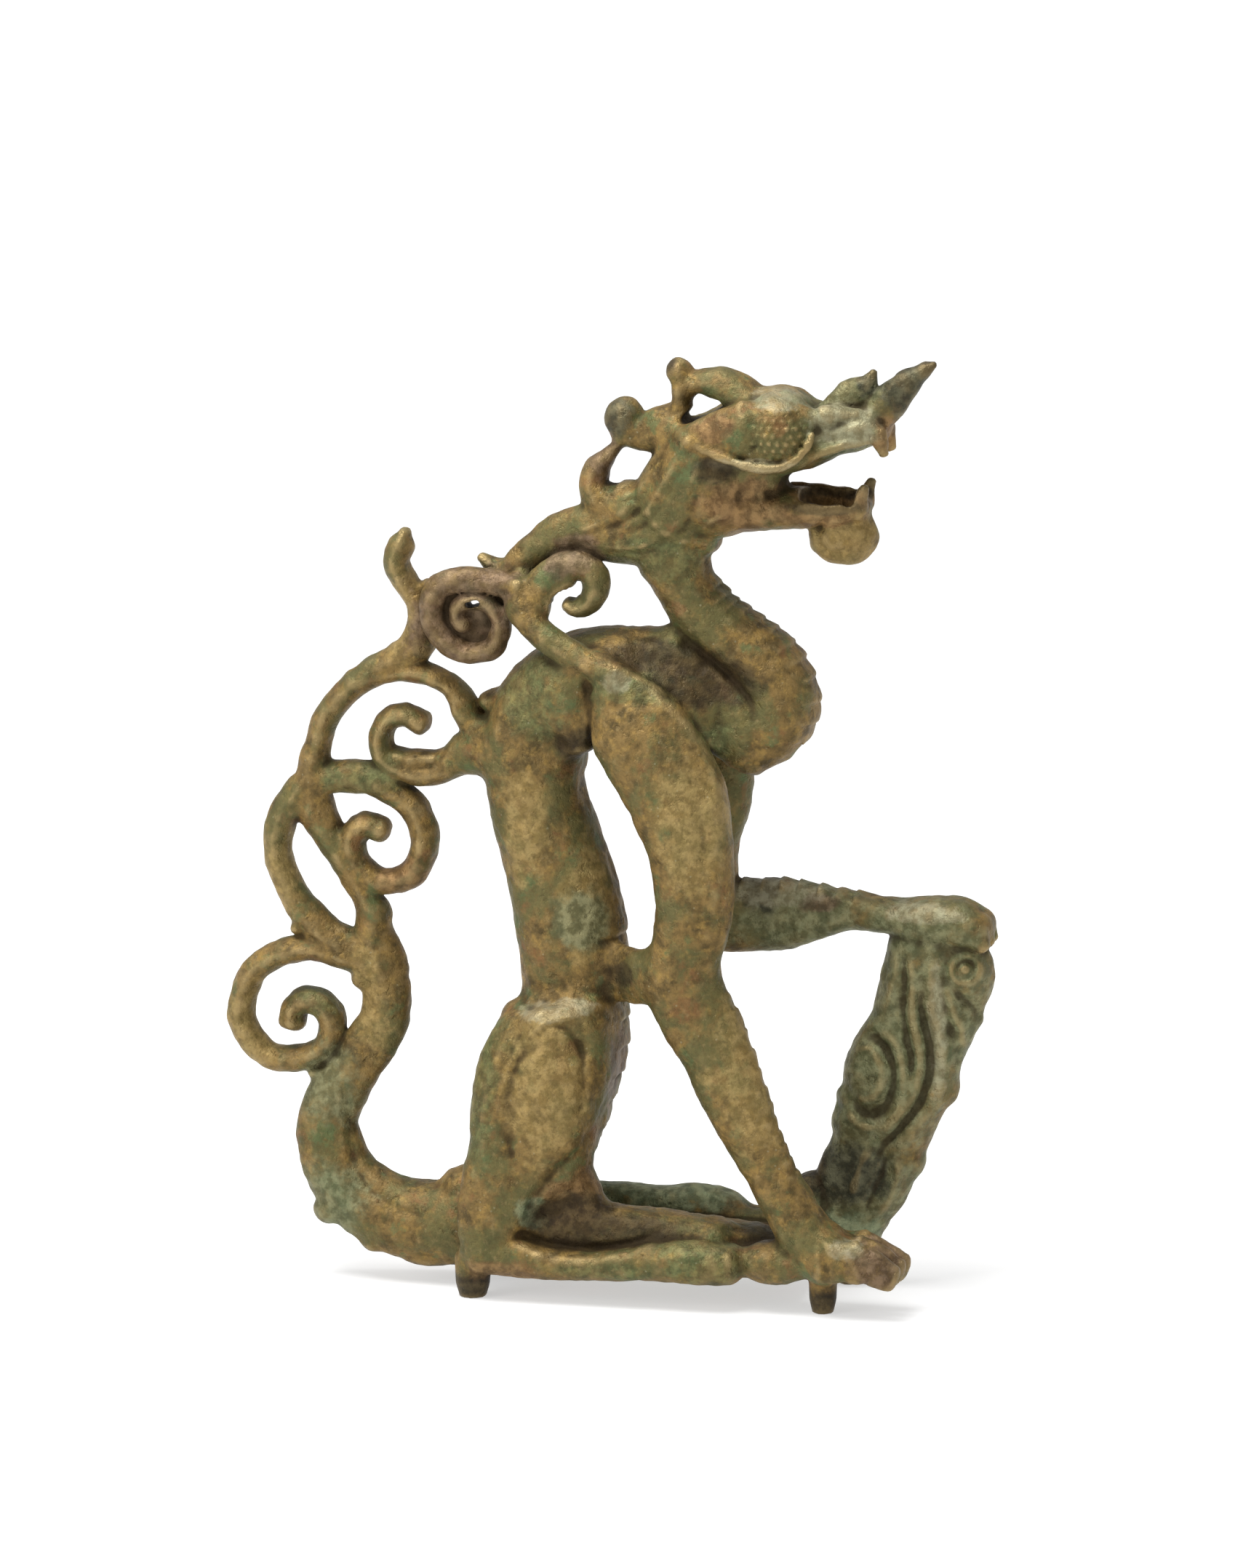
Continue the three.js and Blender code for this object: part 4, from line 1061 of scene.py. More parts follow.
@dataclass(frozen=True)
class Cloud:
    """The cloud scroll that carries the raised paw and stands on the far hind foot."""

    body: Limb = limb(
        (66.6, 13, 73, 10.2, 6.5), (66, 13, 65, 11.3, 6.6), (63.3, 13, 55.5, 10.8, 6.4),
        (59.7, 13, 46.8, 11.2, 6.6), (57.1, 13, 39, 10.6, 6.6), (54.4, 13, 30.4, 9.7, 6.4),
        (51, 13.5, 22.5, 9.8, 6.5), (48.8, 14, 16.5, 8.4, 6),
    )
    lobes: tuple[Ball, ...] = (
        Ball((71.4, 13, 67.5), (7.5, 6.6, 8.8), 0.8),
        Ball((69.4, 13, 59.0), (7.2, 6.0, 4.4), 0.8),
        Ball((65.4, 13, 43.6), (6.2, 5.8, 5.4), 0.8),
        Ball((55.0, 13, 45.6), (8.0, 8.0, 10.0), 0.8),
        Ball((49.6, 13, 40.6), (4.0, 6.0, 3.6), 0.8),
        Ball((51.2, 13, 35.4), (6.8, 7, 7), 0.8),
        Ball((59.6, 13, 27.2), (4.7, 5.4, 4.2), 0.8),
        Ball((40.2, 13, 18.8), (4.4, 6, 5), 0.8),
    )
    relief: tuple[Line, ...] = (
        fold(
            1.3, 1.7, (66.5, 74.1), (66.9, 67.0), (67.1, 61.9), (68.1, 57.8), (69.0, 53.2),
            (69.3, 48.5), (68.7, 43.9), (67.0, 40.0), (64.7, 36.8), (62.2, 33.6), (58.9, 30.6),
        ),
        fold(
            -0.8, 0.9, (64.2, 63.7), (64.9, 59.0), (65.8, 55.3), (66.5, 51.2), (66.2, 46.9),
            (65.1, 42.7), (63.2, 39.1), (60.6, 35.7), (57.5, 32.3), (55.4, 29.1), (53.6, 24.7),
        ),
        fold(
            0.9, 1.3, (62.5, 73.1), (62.8, 66.0), (62.8, 59.9), (63.7, 54.5), (64.3, 49.4),
            (63.5, 44.8), (62.1, 40.7), (59.2, 36.9), (55.8, 33.4),
        ),
        fold(
            -0.55, 0.8, (60.8, 72.2), (61.0, 66.0), (60.8, 60.4), (61.5, 55.2), (62.7, 50.0),
            (62.4, 45.4),
        ),
        fold(
            0.9, 1.2, (56.0, 56.4), (58.2, 54.6), (60.0, 51.7), (61.0, 47.5), (60.9, 42.4),
            (59.3, 38.5), (56.6, 35.8), (53.1, 35.4), (50.1, 37.1), (48.7, 40.5),
        ),
        fold(
            -0.5, 0.8, (53.0, 55.0), (56.4, 53.0), (58.4, 49.5), (58.9, 45.0), (57.3, 40.5),
            (54.3, 38.0), (51.0, 38.7),
        ),
        fold(
            0.7, 1.0, (50.2, 51.0), (53.4, 52.2), (55.6, 49.9), (56.5, 46.1), (55.2, 42.5),
            (52.2, 41.2), (49.9, 43.1),
        ),
        fold(-0.5, 1.0, (51.0, 48.3), (53.1, 47.6), (53.2, 45.0), (51.2, 44.6)),
        fold(0.8, 1.3, (58.9, 73.4), (58.4, 67.4), (57.3, 62.0), (56.1, 58.7), (52.4, 55.4), (49.9, 51.5)),
        fold(0.8, 1.0, (70.1, 65.3), (71.6, 60.2), (72.9, 56.3), (73.0, 52.6)),
        fold(-0.6, 1.0, (71.5, 64.9), (73.7, 62.7), (75.3, 60.5), (75.9, 58.3)),
        fold(0.8, 1.1, (53.1, 30.1), (51.4, 25.7), (50.0, 20.7)),
        fold(-0.6, 0.9, (57.0, 29.7), (56.2, 25.3), (54.3, 20.9), (52.5, 16.6)),
        fold(0.8, 1.1, (60.1, 29.6), (59.4, 24.2), (58.0, 20.1), (55.6, 16.1)),
    )
    boss: Point = (73.9, 6.2, 69.6)
    # rise, width and radius
    boss_rings: tuple[tuple[float, float, float], ...] = ((0.6, 0.9, 2.9), (-0.4, 0.7, 1.7))

    def cast(self, solid: SolidField) -> None:
        """Casts the cloud into the solid."""
        solid.add(self.body, *self.lobes)

    def carve(self, solid: SolidField) -> None:
        """Draws the cloud's folds on the solid, the same on both of its faces.

        Args:
            solid: The solid.
        """
        x, _, z = self.boss
        for face, beyond in ((Face.NEAR, -CLOUD_SIDE), (Face.FAR, CLOUD_SIDE)):
            for line in self.relief:
                solid.draw(replace(line, face=face, beyond=beyond))
            for rise, width, radius in self.boss_rings:
                ring = Scroll(self.boss, 0, 1, (radius,) * 9)
                solid.draw(Line(ring.path(), rise, width, face, beyond, 0.0))
            solid.draw(Line(((x - 0.2, z), (x + 0.2, z)), 0.6, 0.9, face, beyond, 0.0))


def largest_part(count: int, faces: np.ndarray) -> np.ndarray:
    """Finds the faces of the largest connected part of a mesh.

    Args:
        count: Number of its points.
        faces: Four point numbers for each face.

    Returns:
        A mask over the faces.
    """
    labels = np.arange(count)
    ends = np.concatenate([faces[:, [0, 1]], faces[:, [1, 2]], faces[:, [2, 3]]])
    while True:
        lowest = np.minimum(labels[ends[:, 0]], labels[ends[:, 1]])
        fresh = labels.copy()
        np.minimum.at(fresh, ends[:, 0], lowest)
        np.minimum.at(fresh, ends[:, 1], lowest)
        fresh = fresh[fresh]
        if np.array_equal(fresh, labels):
            break
        labels = fresh
    names, sizes = np.unique(labels[faces[:, 0]], return_counts=True)
    LOG.info("parts of the skin: %s", sorted(sizes.tolist(), reverse=True)[:6])
    return labels[faces[:, 0]] == names[sizes.argmax()]


def mesh_of(name: str, points: np.ndarray, faces: np.ndarray) -> bpy.types.Mesh:
    """Builds a mesh from arrays of points and of four-sided faces.

    Args:
        name: Name of the mesh.
        points: One row for each point.
        faces: Four point numbers for each face.

    Returns:
        The mesh.
    """
    mesh = bpy.data.meshes.new(name)
    mesh.vertices.add(len(points))
    mesh.vertices.foreach_set("co", points.astype(np.float32).ravel())
    mesh.loops.add(faces.size)
    mesh.loops.foreach_set("vertex_index", faces.astype(np.int32).ravel())
    mesh.polygons.add(len(faces))
    mesh.polygons.foreach_set("loop_start", np.arange(0, faces.size, 4, dtype=np.int32))
    mesh.update(calc_edges=True)
    mesh.validate()
    return mesh


@dataclass
class DragonCasting:
    """The whole figure as one closed bronze mesh."""

    torso: Torso = field(default_factory=Torso)
    head: Head = field(default_factory=Head)
    legs: Legs = field(default_factory=Legs)
    tail: Tail = field(default_factory=Tail)
    ribbon: Ribbon = field(default_factory=Ribbon)
    cloud: Cloud = field(default_factory=Cloud)
    bumps: tuple[tuple[float, float, int], ...] = ((5.5, 0.22, 11), (2.2, 0.17, 12), (1.1, 0.13, 13))
    form_masks: tuple[tuple[str, float, float], ...] = (("edge", 1.2, 0.5), ("hollow", 3.6, 1.4))

    def solid(self) -> SolidField:
        """Casts and carves every part.

        Returns:
            The figure's field.
        """
        made = SolidField(FINE_CELL)
        parts = (self.torso, self.legs, self.cloud, self.tail, self.head, self.ribbon)
        for part in parts:
            part.cast(made)
        for part in parts:
            part.carve(made)
        for spacing, height, seed in self.bumps:
            made.rough(spacing, height, seed)
        self.legs.add_pegs(made)
        return made

    def build(self) -> bpy.types.Object:
        """Builds the figure's mesh.

        Returns:
            The figure.
        """
        solid = self.solid()
        points, faces = solid.skin()
        faces = faces[largest_part(len(points), faces)]
        used, faces = np.unique(faces, return_inverse=True)
        faces = faces.reshape(-1, 4)
        points = points[used]
        placed = (points + np.array(FRAME_SHIFT)) * MILLIMETRE
        mesh = mesh_of("dragon_casting", placed, faces)
        figure = bpy.data.objects.new("dragon_casting", mesh)
        bpy.context.scene.collection.objects.link(figure)
        self.thin_out(figure)
        self.record_form(figure, solid)
        return figure

    @staticmethod
    def thin_out(figure: bpy.types.Object) -> None:
        """Brings the mesh under the limit of triangles and makes it smooth.

        Args:
            figure: The figure.
        """
        triangles = sum(len(face.vertices) - 2 for face in figure.data.polygons)
        if triangles > TRIANGLE_LIMIT:
            modifier = figure.modifiers.new("thin", "DECIMATE")
            modifier.ratio = TRIANGLE_LIMIT / triangles
            modifier.use_collapse_triangulate = True
            graph = bpy.context.evaluated_depsgraph_get()
            thin = bpy.data.meshes.new_from_object(figure.evaluated_get(graph))
            figure.modifiers.clear()
            full = figure.data
            figure.data = thin
            bpy.data.meshes.remove(full)
        figure.data.name = "dragon_casting"
        figure.data.polygons.foreach_set("use_smooth", np.ones(len(figure.data.polygons), bool))
        LOG.info("triangles: %d of %d", len(figure.data.polygons), triangles)

    def record_form(self, figure: bpy.types.Object, solid: SolidField) -> None:
        """Stores how far each point stands out from or lies in the form round it, and each tone's patches.

        Args:
            figure: The figure.
            solid: The field that its form is measured in.
        """
        mesh = figure.data
        places = np.zeros(len(mesh.vertices) * 3, np.float32)
        mesh.vertices.foreach_get("co", places)
        points = places.reshape(-1, 3) / MILLIMETRE - np.array(FRAME_SHIFT)
        for name, reach, scale in self.form_masks:
            mean = solid.blurred(max(1, round(reach / solid.cell)))
            value = np.clip(solid.read(mean, points) / scale, -1, 1)
            attribute = mesh.attributes.new(name, "FLOAT", "POINT")
            attribute.data.foreach_set("value", value.astype(np.float32))
        for tone in TONES:
            attribute = mesh.attributes.new(tone.name, "FLOAT", "POINT")
            attribute.data.foreach_set("value", tone.mask(points))


NOISE_DETAIL = 5.0
NOISE_ROUGHNESS = 0.62


class Nodes:
    """A node tree that is filled by short calls."""

    def __init__(self, tree: bpy.types.NodeTree) -> None:
        """Takes the tree that is filled."""
        self.tree = tree

    def put(self, kind: str, inputs: dict, **settings: object) -> bpy.types.Node:
        """Adds a node.

        Args:
            kind: Blender's name of the node.
            inputs: A socket to link, or a value to set, for each input by name or number.
            settings: The node's own settings.

        Returns:
            The node.
        """
        node = self.tree.nodes.new(kind)
        for name, value in settings.items():
            setattr(node, name, value)
        for name, value in inputs.items():
            if isinstance(value, Socket):
                self.tree.links.new(value, node.inputs[name])
            else:
                node.inputs[name].default_value = value
        return node

    def math(self, operation: str, *values: object) -> Socket:
        """Returns the result of a sum on numbers or sockets."""
        return self.put("ShaderNodeMath", dict(enumerate(values)), operation=operation).outputs[0]

    def spread(self, value: Socket, low: object, high: object) -> Socket:
        """Returns a mask that rises smoothly from 0 at low to 1 at high."""
        inputs = {"Value": value, "From Min": low, "From Max": high}
        return self.put("ShaderNodeMapRange", inputs, interpolation_type="SMOOTHSTEP").outputs[0]

    def noise(self, scale: object, seed: object, detail: float) -> Socket:
        """Adds an even cloudy noise that lies in the bronze itself.

        Args:
            scale: How fine the noise is.
            seed: Which noise it is.
            detail: How many finer layers it has.

        Returns:
            The noise, 0 to 1.
        """
        place = self.put("ShaderNodeTexCoord", {}).outputs["Object"]
        inputs = {"Vector": place, "W": seed, "Scale": scale, "Detail": detail}
        inputs["Roughness"] = NOISE_ROUGHNESS
        return self.put("ShaderNodeTexNoise", inputs, noise_dimensions="4D").outputs[0]

    def form(self, name: str) -> Socket:
        """Returns a number that is stored in the mesh."""
        return self.put("ShaderNodeAttribute", {}, attribute_name=name).outputs["Fac"]

    def blend(self, share: object, first: object, second: object) -> Socket:
        """Returns a colour between two others."""
        return self.put("ShaderNodeMix", {0: share, 6: first, 7: second}, data_type="RGBA").outputs[2]

    def between(self, share: object, first: object, second: object) -> Socket:
        """Returns a number between two others."""
        return self.put("ShaderNodeMix", {0: share, 2: first, 3: second}).outputs[0]

    def effect(self, group: "Effect", **values: object) -> Socket:
        """Places a shared effect with its own values."""
        inputs = {name.capitalize(): value for name, value in values.items()}
        return self.put("ShaderNodeGroup", inputs, node_tree=group.tree).outputs[0]


class Effect(Nodes):
    """A node group that any finish can use, with numbers in and one mask or height out."""

    def __init__(self, name: str, inputs: tuple[str, ...], output: str) -> None:
        """Makes the group with its sockets.

        Args:
            name: Name of the group.
            inputs: Names of the numbers that go in.
            output: Name of the number that comes out.
        """
        super().__init__(bpy.data.node_groups.new(name, "ShaderNodeTree"))
        self.output = output
        for item in inputs:
            self.tree.interface.new_socket(item, in_out="INPUT", socket_type="NodeSocketFloat")
        self.tree.interface.new_socket(output, in_out="OUTPUT", socket_type="NodeSocketFloat")
        self.given = self.put("NodeGroupInput", {}).outputs

    def own_noise(self, share: float = 1.0, detail: float = NOISE_DETAIL) -> Socket:
        """Returns the group's own noise, at a share of its scale."""
        scale = self.given["Scale"] if share == 1.0 else self.math("MULTIPLY", self.given["Scale"], share)
        return self.noise(scale, self.given["Seed"], detail)

    def swing(self) -> Socket:
        """Returns the group's own noise as a swing to either side of 0."""
        return self.math("SUBTRACT", self.own_noise(), 0.5)

    def give(self, value: Socket) -> "Effect":
        """Links what comes out of the group, and returns the group."""
        self.put("NodeGroupOutput", {self.output: value})
        return self

    def give_mask(self, value: Socket, edge: tuple[float, float] | None = None) -> "Effect":
        """Spreads a value into the mask that comes out of the group, and returns the group.

        Args:
            value: What is spread.
            edge: Where the mask starts and where it is full, if not at the group's Low and High.

        Returns:
            The group.
        """
        low, high = edge or (self.given["Low"], self.given["High"])
        return self.give(self.math("MULTIPLY", self.spread(value, low, high), self.given["Strength"]))


MASK_INPUTS = ("Scale", "Low", "High", "Strength", "Seed")
FRAY_EDGE = (0.3, 0.75)  # where a frayed patch starts and where it is full
RUB_SWING = 0.9  # how far the noise moves the rubbed places
HOLLOW_SWING = 0.7
EDGE_SHARE = 0.6  # how much the edges keep off the darkening, beside the hollows
SPECK_HEART = 0.4  # the full middle of a speck, as a share of its size
COARSE_GRAIN = 0.3  # scale of the coarse grain beside the fine one
COARSE_HEIGHT = 1.4
PIT_EDGE = (0.42, 0.3)  # where a pit starts and where it is deep, in the coarse grain
GRAIN_DETAIL = 3.0


class Effects:
    """The shared effects: clouds, frayed patches, rubbed edges, darkened hollows, specks and grain."""

    def __init__(self) -> None:
        """Builds each effect once."""
        self.clouds = self.build_clouds()
        self.fray = self.build_fray()
        self.rub = self.build_rub()
        self.hollow_dark = self.build_hollow_darkening()
        self.specks = self.build_specks()
        self.grain = self.build_grain()

    @staticmethod
    def build_clouds() -> Effect:
        """Builds cloudy patches of a chosen size."""
        group = Effect("cloudy_patches", MASK_INPUTS, "Mask")
        return group.give_mask(group.own_noise())

    @staticmethod
    def build_fray() -> Effect:
        """Builds the broken outline of a tone's patch, for corrosion and for painted shade and highlights
        alike.

        Returns:
            The effect.
        """
        group = Effect("frayed_patch", ("Zone", "Scale", "Fray", "Strength", "Seed"), "Mask")
        broken = group.math("MULTIPLY_ADD", group.swing(), group.given["Fray"], group.given["Zone"])
        return group.give_mask(broken, FRAY_EDGE)

    @staticmethod
    def build_rub() -> Effect:
        """Builds the rubbed places along edges and ridges."""
        group = Effect("rubbed_edges", MASK_INPUTS, "Mask")
        return group.give_mask(group.math("MULTIPLY_ADD", group.swing(), RUB_SWING, group.form("edge")))

    @staticmethod
    def build_hollow_darkening() -> Effect:
        """Builds the darkening in grooves and hollows.

        Returns:
            The effect.
        """
        group = Effect("hollow_darkening", MASK_INPUTS, "Mask")
        depth = group.math("MULTIPLY_ADD", group.form("edge"), EDGE_SHARE, group.form("hollow"))
        cloudy = group.math("MULTIPLY", group.swing(), HOLLOW_SWING)
        return group.give_mask(group.math("SUBTRACT", cloudy, depth))

    @staticmethod
    def build_specks() -> Effect:
        """Builds small scattered specks.

        Returns:
            The effect.
        """
        group = Effect("specks", ("Scale", "Share", "Size", "Strength"), "Mask")
        place = group.put("ShaderNodeTexCoord", {}).outputs["Object"]
        cells = group.put("ShaderNodeTexVoronoi", {"Vector": place, "Scale": group.given["Scale"]})
        chosen = group.math("LESS_THAN", cells.outputs["Color"], group.given["Share"])
        inner = group.math("MULTIPLY", group.given["Size"], SPECK_HEART)
        dot = group.spread(cells.outputs["Distance"], group.given["Size"], inner)
        mask = group.math("MULTIPLY", chosen, dot)
        return group.give(group.math("MULTIPLY", mask, group.given["Strength"]))

    @staticmethod
    def build_grain() -> Effect:
        """Builds the height of the cast skin's grain with its pits.

        Returns:
            The effect.
        """
        group = Effect("cast_grain", ("Scale", "Pits", "Seed"), "Height")
        coarse = group.own_noise(COARSE_GRAIN, GRAIN_DETAIL)
        height = group.math("MULTIPLY_ADD", coarse, COARSE_HEIGHT, group.own_noise(1.0, GRAIN_DETAIL))
        deep = group.math("MULTIPLY", group.spread(coarse, *PIT_EDGE), group.given["Pits"])
        return group.give(group.math("SUBTRACT", height, deep))


def shade(screen: Colour) -> tuple[float, float, float, float]:
    """Returns a colour for a shader from its red, green and blue on a screen, 0 to 255."""
    parts = (part / 255 for part in screen)
    return (*(part / 12.92 if part < 0.04 else ((part + 0.055) / 1.055) ** 2.4 for part in parts), 1.0)


@dataclass(frozen=True)
class Tone:
    """A colour laid on the bronze in some patches, from dark to light: patina, and in some tones painted
    shade or painted highlights.
    """

    name: str
    dark: Colour
    light: Colour
    patches: dict[str, tuple[Point, Point]]  # middle and half sizes of each
    strength: float = 0.85
    fray: float = 1.6
    scale: float = 240.0
    over: bool = False  # lies over the rubbed places

    def mask(self, points: np.ndarray) -> np.ndarray:
        """Measures how far points lie in the patches.

        Args:
            points: One row for each point, in millimetres.

        Returns:
            0.5 at the outlines of the patches, more inside them and less outside.
        """
        inside = np.zeros(len(points), np.float32)
        for middle, half in self.patches.values():
            away = np.linalg.norm((points - np.array(middle)) / np.array(half), axis=1)
            inside = np.maximum(inside, np.clip(1.5 - away, 0, 1))
        return inside


TONES = (
    Tone(
        "grey_green", (82, 86, 58), (130, 132, 98),
        {
            "forearm": ((38, 13, 78), (18, 10, 8)),
            "raised paw": ((64, 13, 76), (14, 12, 8)),
            "cloud": ((63, 13, 59), (17, 15, 18)),
            "cloud lobe": ((52, 13, 41), (17, 15, 17)),
            "cloud foot": ((50, 13, 22), (14, 14, 14)),
            "snout": ((50, 0, 185), (9, 12, 8)),
            "snout leaf": ((51, 0, 193), (8, 6, 6)),
            "belly spot": ((-4, -11, 80), (6, 8, 7)),
            "tail low": ((-60, 0, 17), (12, 10, 9)),
            "tail stem": ((-60, 0, 41), (8, 6, 12)),
        },
        strength=0.75, fray=1.2, over=True,
    ),
    Tone(
        "green", (64, 72, 42), (114, 120, 76),
        {
            "hind toe": ((24, -19, 11), (10, 8, 5)),
            "haunch rim": ((-24, -12, 43), (4, 10, 18)),
            "cross bar": ((-52, 0, 106), (11, 6, 4)),
            "curl tip": ((-62, 0, 59), (8, 6, 4)),
            "crest": ((26, 0, 191), (5, 6, 3)),
            "neck": ((11, -8, 156), (11, 8, 5)),
            "back": ((-14, -6, 126), (9, 10, 8)),
            "foot strip": ((2, -20, 8), (11, 6, 2)),
            "shoulder": ((25, -12, 119), (3, 8, 6)),
            "shoulder rim": ((10, -15, 131), (13, 6, 4)),
            "tail bend": ((-37, 0, 76), (3, 6, 9)),
        },
        strength=0.55, fray=2.2, scale=200.0,
    ),
    Tone(
        "malachite", (88, 100, 74), (140, 148, 114),
        {
            "far foot": ((8, 14, 18.5), (20, 9, 6)),
            "cloud base": ((47, 13, 12), (8, 12, 5)),
            "shin": ((-13, -15, 19), (4, 8, 4)),
        },
        strength=0.8, over=True,
    ),
    Tone(
        "slate", (46, 46, 34), (88, 86, 66),
        {
            "horn": ((64, 0, 194), (8, 8, 9)),
            "leaf edge": ((54.6, 0, 194), (2.5, 6, 4)),
            "jaw tooth": ((54.4, 0, 172), (3, 9, 4)),
            # Painted shade: the cloud darker towards its bottom.
            "cloud low": ((49, 13, 25), (11, 14, 7)),
            "ear curl": ((1, 0, 185), (5, 8, 4)),
            # Painted shade under the far arm.
            "far arm pit": ((30, 12, 84), (5, 8, 6)),
        },
        strength=0.88, fray=1.4, scale=300.0, over=True,
    ),
    Tone(
        "rust", (94, 68, 40), (146, 114, 74),
        {
            "cheek": ((30, -8, 169), (9, 9, 6)),
            "temple": ((24, -11, 185), (5, 5, 3)),
            "tail curl": ((-43, 0, 86), (7, 6, 6)),
            "heel": ((-20, -18, 6), (9, 8, 3)),
            "hollow": ((-6, -13, 22), (8, 6, 7)),
            "nose": ((58, 0, 183), (3, 8, 5)),
            "mouth": ((46, 0, 170), (10, 10, 5)),
            "jaw": ((44, -5, 166), (9, 6, 2)),
        },
        strength=0.75, over=True,
    ),
    Tone(
        "purple", (74, 56, 42), (124, 102, 82),
        {
            "ribbon spiral": ((-30, -6, 143), (14, 5, 14)),
            "ribbon curl": ((-7, -6, 156), (6, 5, 5)),
            "mane tip": ((-1, 0, 177), (5, 6, 6)),
            "forearm": ((43, 8, 82), (4, 6, 2)),
            "claws": ((60, -14, 11), (7, 12, 6)),
            "belly edge": ((3, -6, 43), (2, 8, 14)),
        },
        strength=0.7, fray=1.8, scale=180.0, over=True,
    ),
    Tone(
        "golden", (124, 104, 58), (164, 140, 88),
        {
            "haunch": ((-10, -19, 47), (9, 7, 17)),
            # Painted light on the belly's side that faces away from the lamps.
            "belly": ((-3, -9, 84), (6, 8, 12)),
            "back": ((-16, -9, 100), (5, 8, 14)),
            "arm": ((21, -18, 103), (8, 8, 14)),
            "foreleg": ((34, -16, 51), (9, 8, 17)),
            "chin": ((49, 0, 161), (8, 8, 7)),
            "tail leaf": ((-70, 0, 85), (5, 6, 12)),
            "tail band": ((-51, 0, 60), (5, 6, 14)),
            "lower scroll": ((-78, 0, 51), (9, 6, 12)),
            "flame": ((-44, 0, 143), (4, 6, 11)),
        },
        strength=0.7, fray=2.2, scale=180.0,
    ),
    # Painted highlights on the tops and ridges that the light from above falls on, partly pale patina.
    Tone(
        "pale", (142, 132, 102), (176, 170, 142),
        {
            "brow": ((37, -6, 191), (6, 8, 3)),
            "haunch top": ((-12, -17, 61.6), (7, 7, 2)),
            "haunch top front": ((-5, -17, 62.6), (6, 7, 2)),
            "cloud ridge": ((68, 6, 56), (2, 6, 15)),
            "raised paw": ((65, 9, 81), (9, 10, 2)),
            "shoulder spot": ((4.5, -15, 131.6), (3, 5, 2.4)),
            "front paw": ((54, -20, 15), (4, 5, 2)),
            "eye rim": ((32, -13, 177.4), (13, 4, 1.6)),
            "snout side": ((50, -6, 186), (8, 5, 5)),
            "mane curl": ((-31, 0, 133), (6, 4, 2)),
            "forearm top": ((32, 9, 84), (11, 5, 3)),
        },
        strength=0.45, fray=1.4, scale=420.0, over=True,
    ),
    # Painted shade: darkening laid in the hollows, creases and recesses under and between parts, where shade
    # falls.
    Tone(
        "dark", (40, 31, 17), (72, 60, 37),
        {
            "under the neck": ((21, -8, 131.5), (13, 8, 6)),
            "elbow web": ((5, -8, 69), (4, 9, 3)),
            "recess": ((4, -14, 15), (16, 5, 4)),
            "behind the shin": ((-5, -14, 17), (11, 6, 6)),
            "between the feet": ((35, -6, 12), (6, 9, 8)),
            "jaw rim": ((47, -7, 168.4), (9, 4, 1.6)),
            "back arch": ((10, -6, 135.5), (13, 8, 3.6)),
            "jaw top": ((47, 3, 170.6), (9, 9, 2.2)),
            "cloud corner": ((40, 13, 25), (4, 12, 6)),
            "arm pit": ((-5, -8, 118), (5, 6, 6)),
            "cheek hollow": ((24, -10, 176), (5, 5, 3)),
        },
        strength=0.82, fray=1.0, scale=300.0, over=True,
    ),
    # Painted shade on the pegs under the figure and in the spiral's gap; the horn tip and the crest bulb are
    # darkened too.
    Tone(
        "black", (20, 16, 10), (40, 34, 24),
        {
            "rear pegs": ((-26.5, 0, -1), (9, 60, 7)),
            "front pegs": ((48, 0, -1), (9, 60, 7)),
            "horn tip": ((70, 0, 200), (6, 6, 5)),
            "crest bulb": ((13, 0, 196), (2, 5, 2)),
            "spiral gap": ((-28, -2, 145.4), (3, 6, 1.6)),
        },
        strength=0.9, fray=0.8, scale=300.0, over=True,
    ),
)


@dataclass(frozen=True)
class Wash:
    """A thin cloudy layer of one colour."""

    colour: Colour
    scale: float
    low: float
    high: float
    strength: float
    seed: int


BROWN = (78, 64, 34)
RUBBED = (158, 136, 92)
PALE_SPECK = (158, 152, 122)
HOLLOW_COLOUR = (46, 34, 16)
TONE_SEED = 20


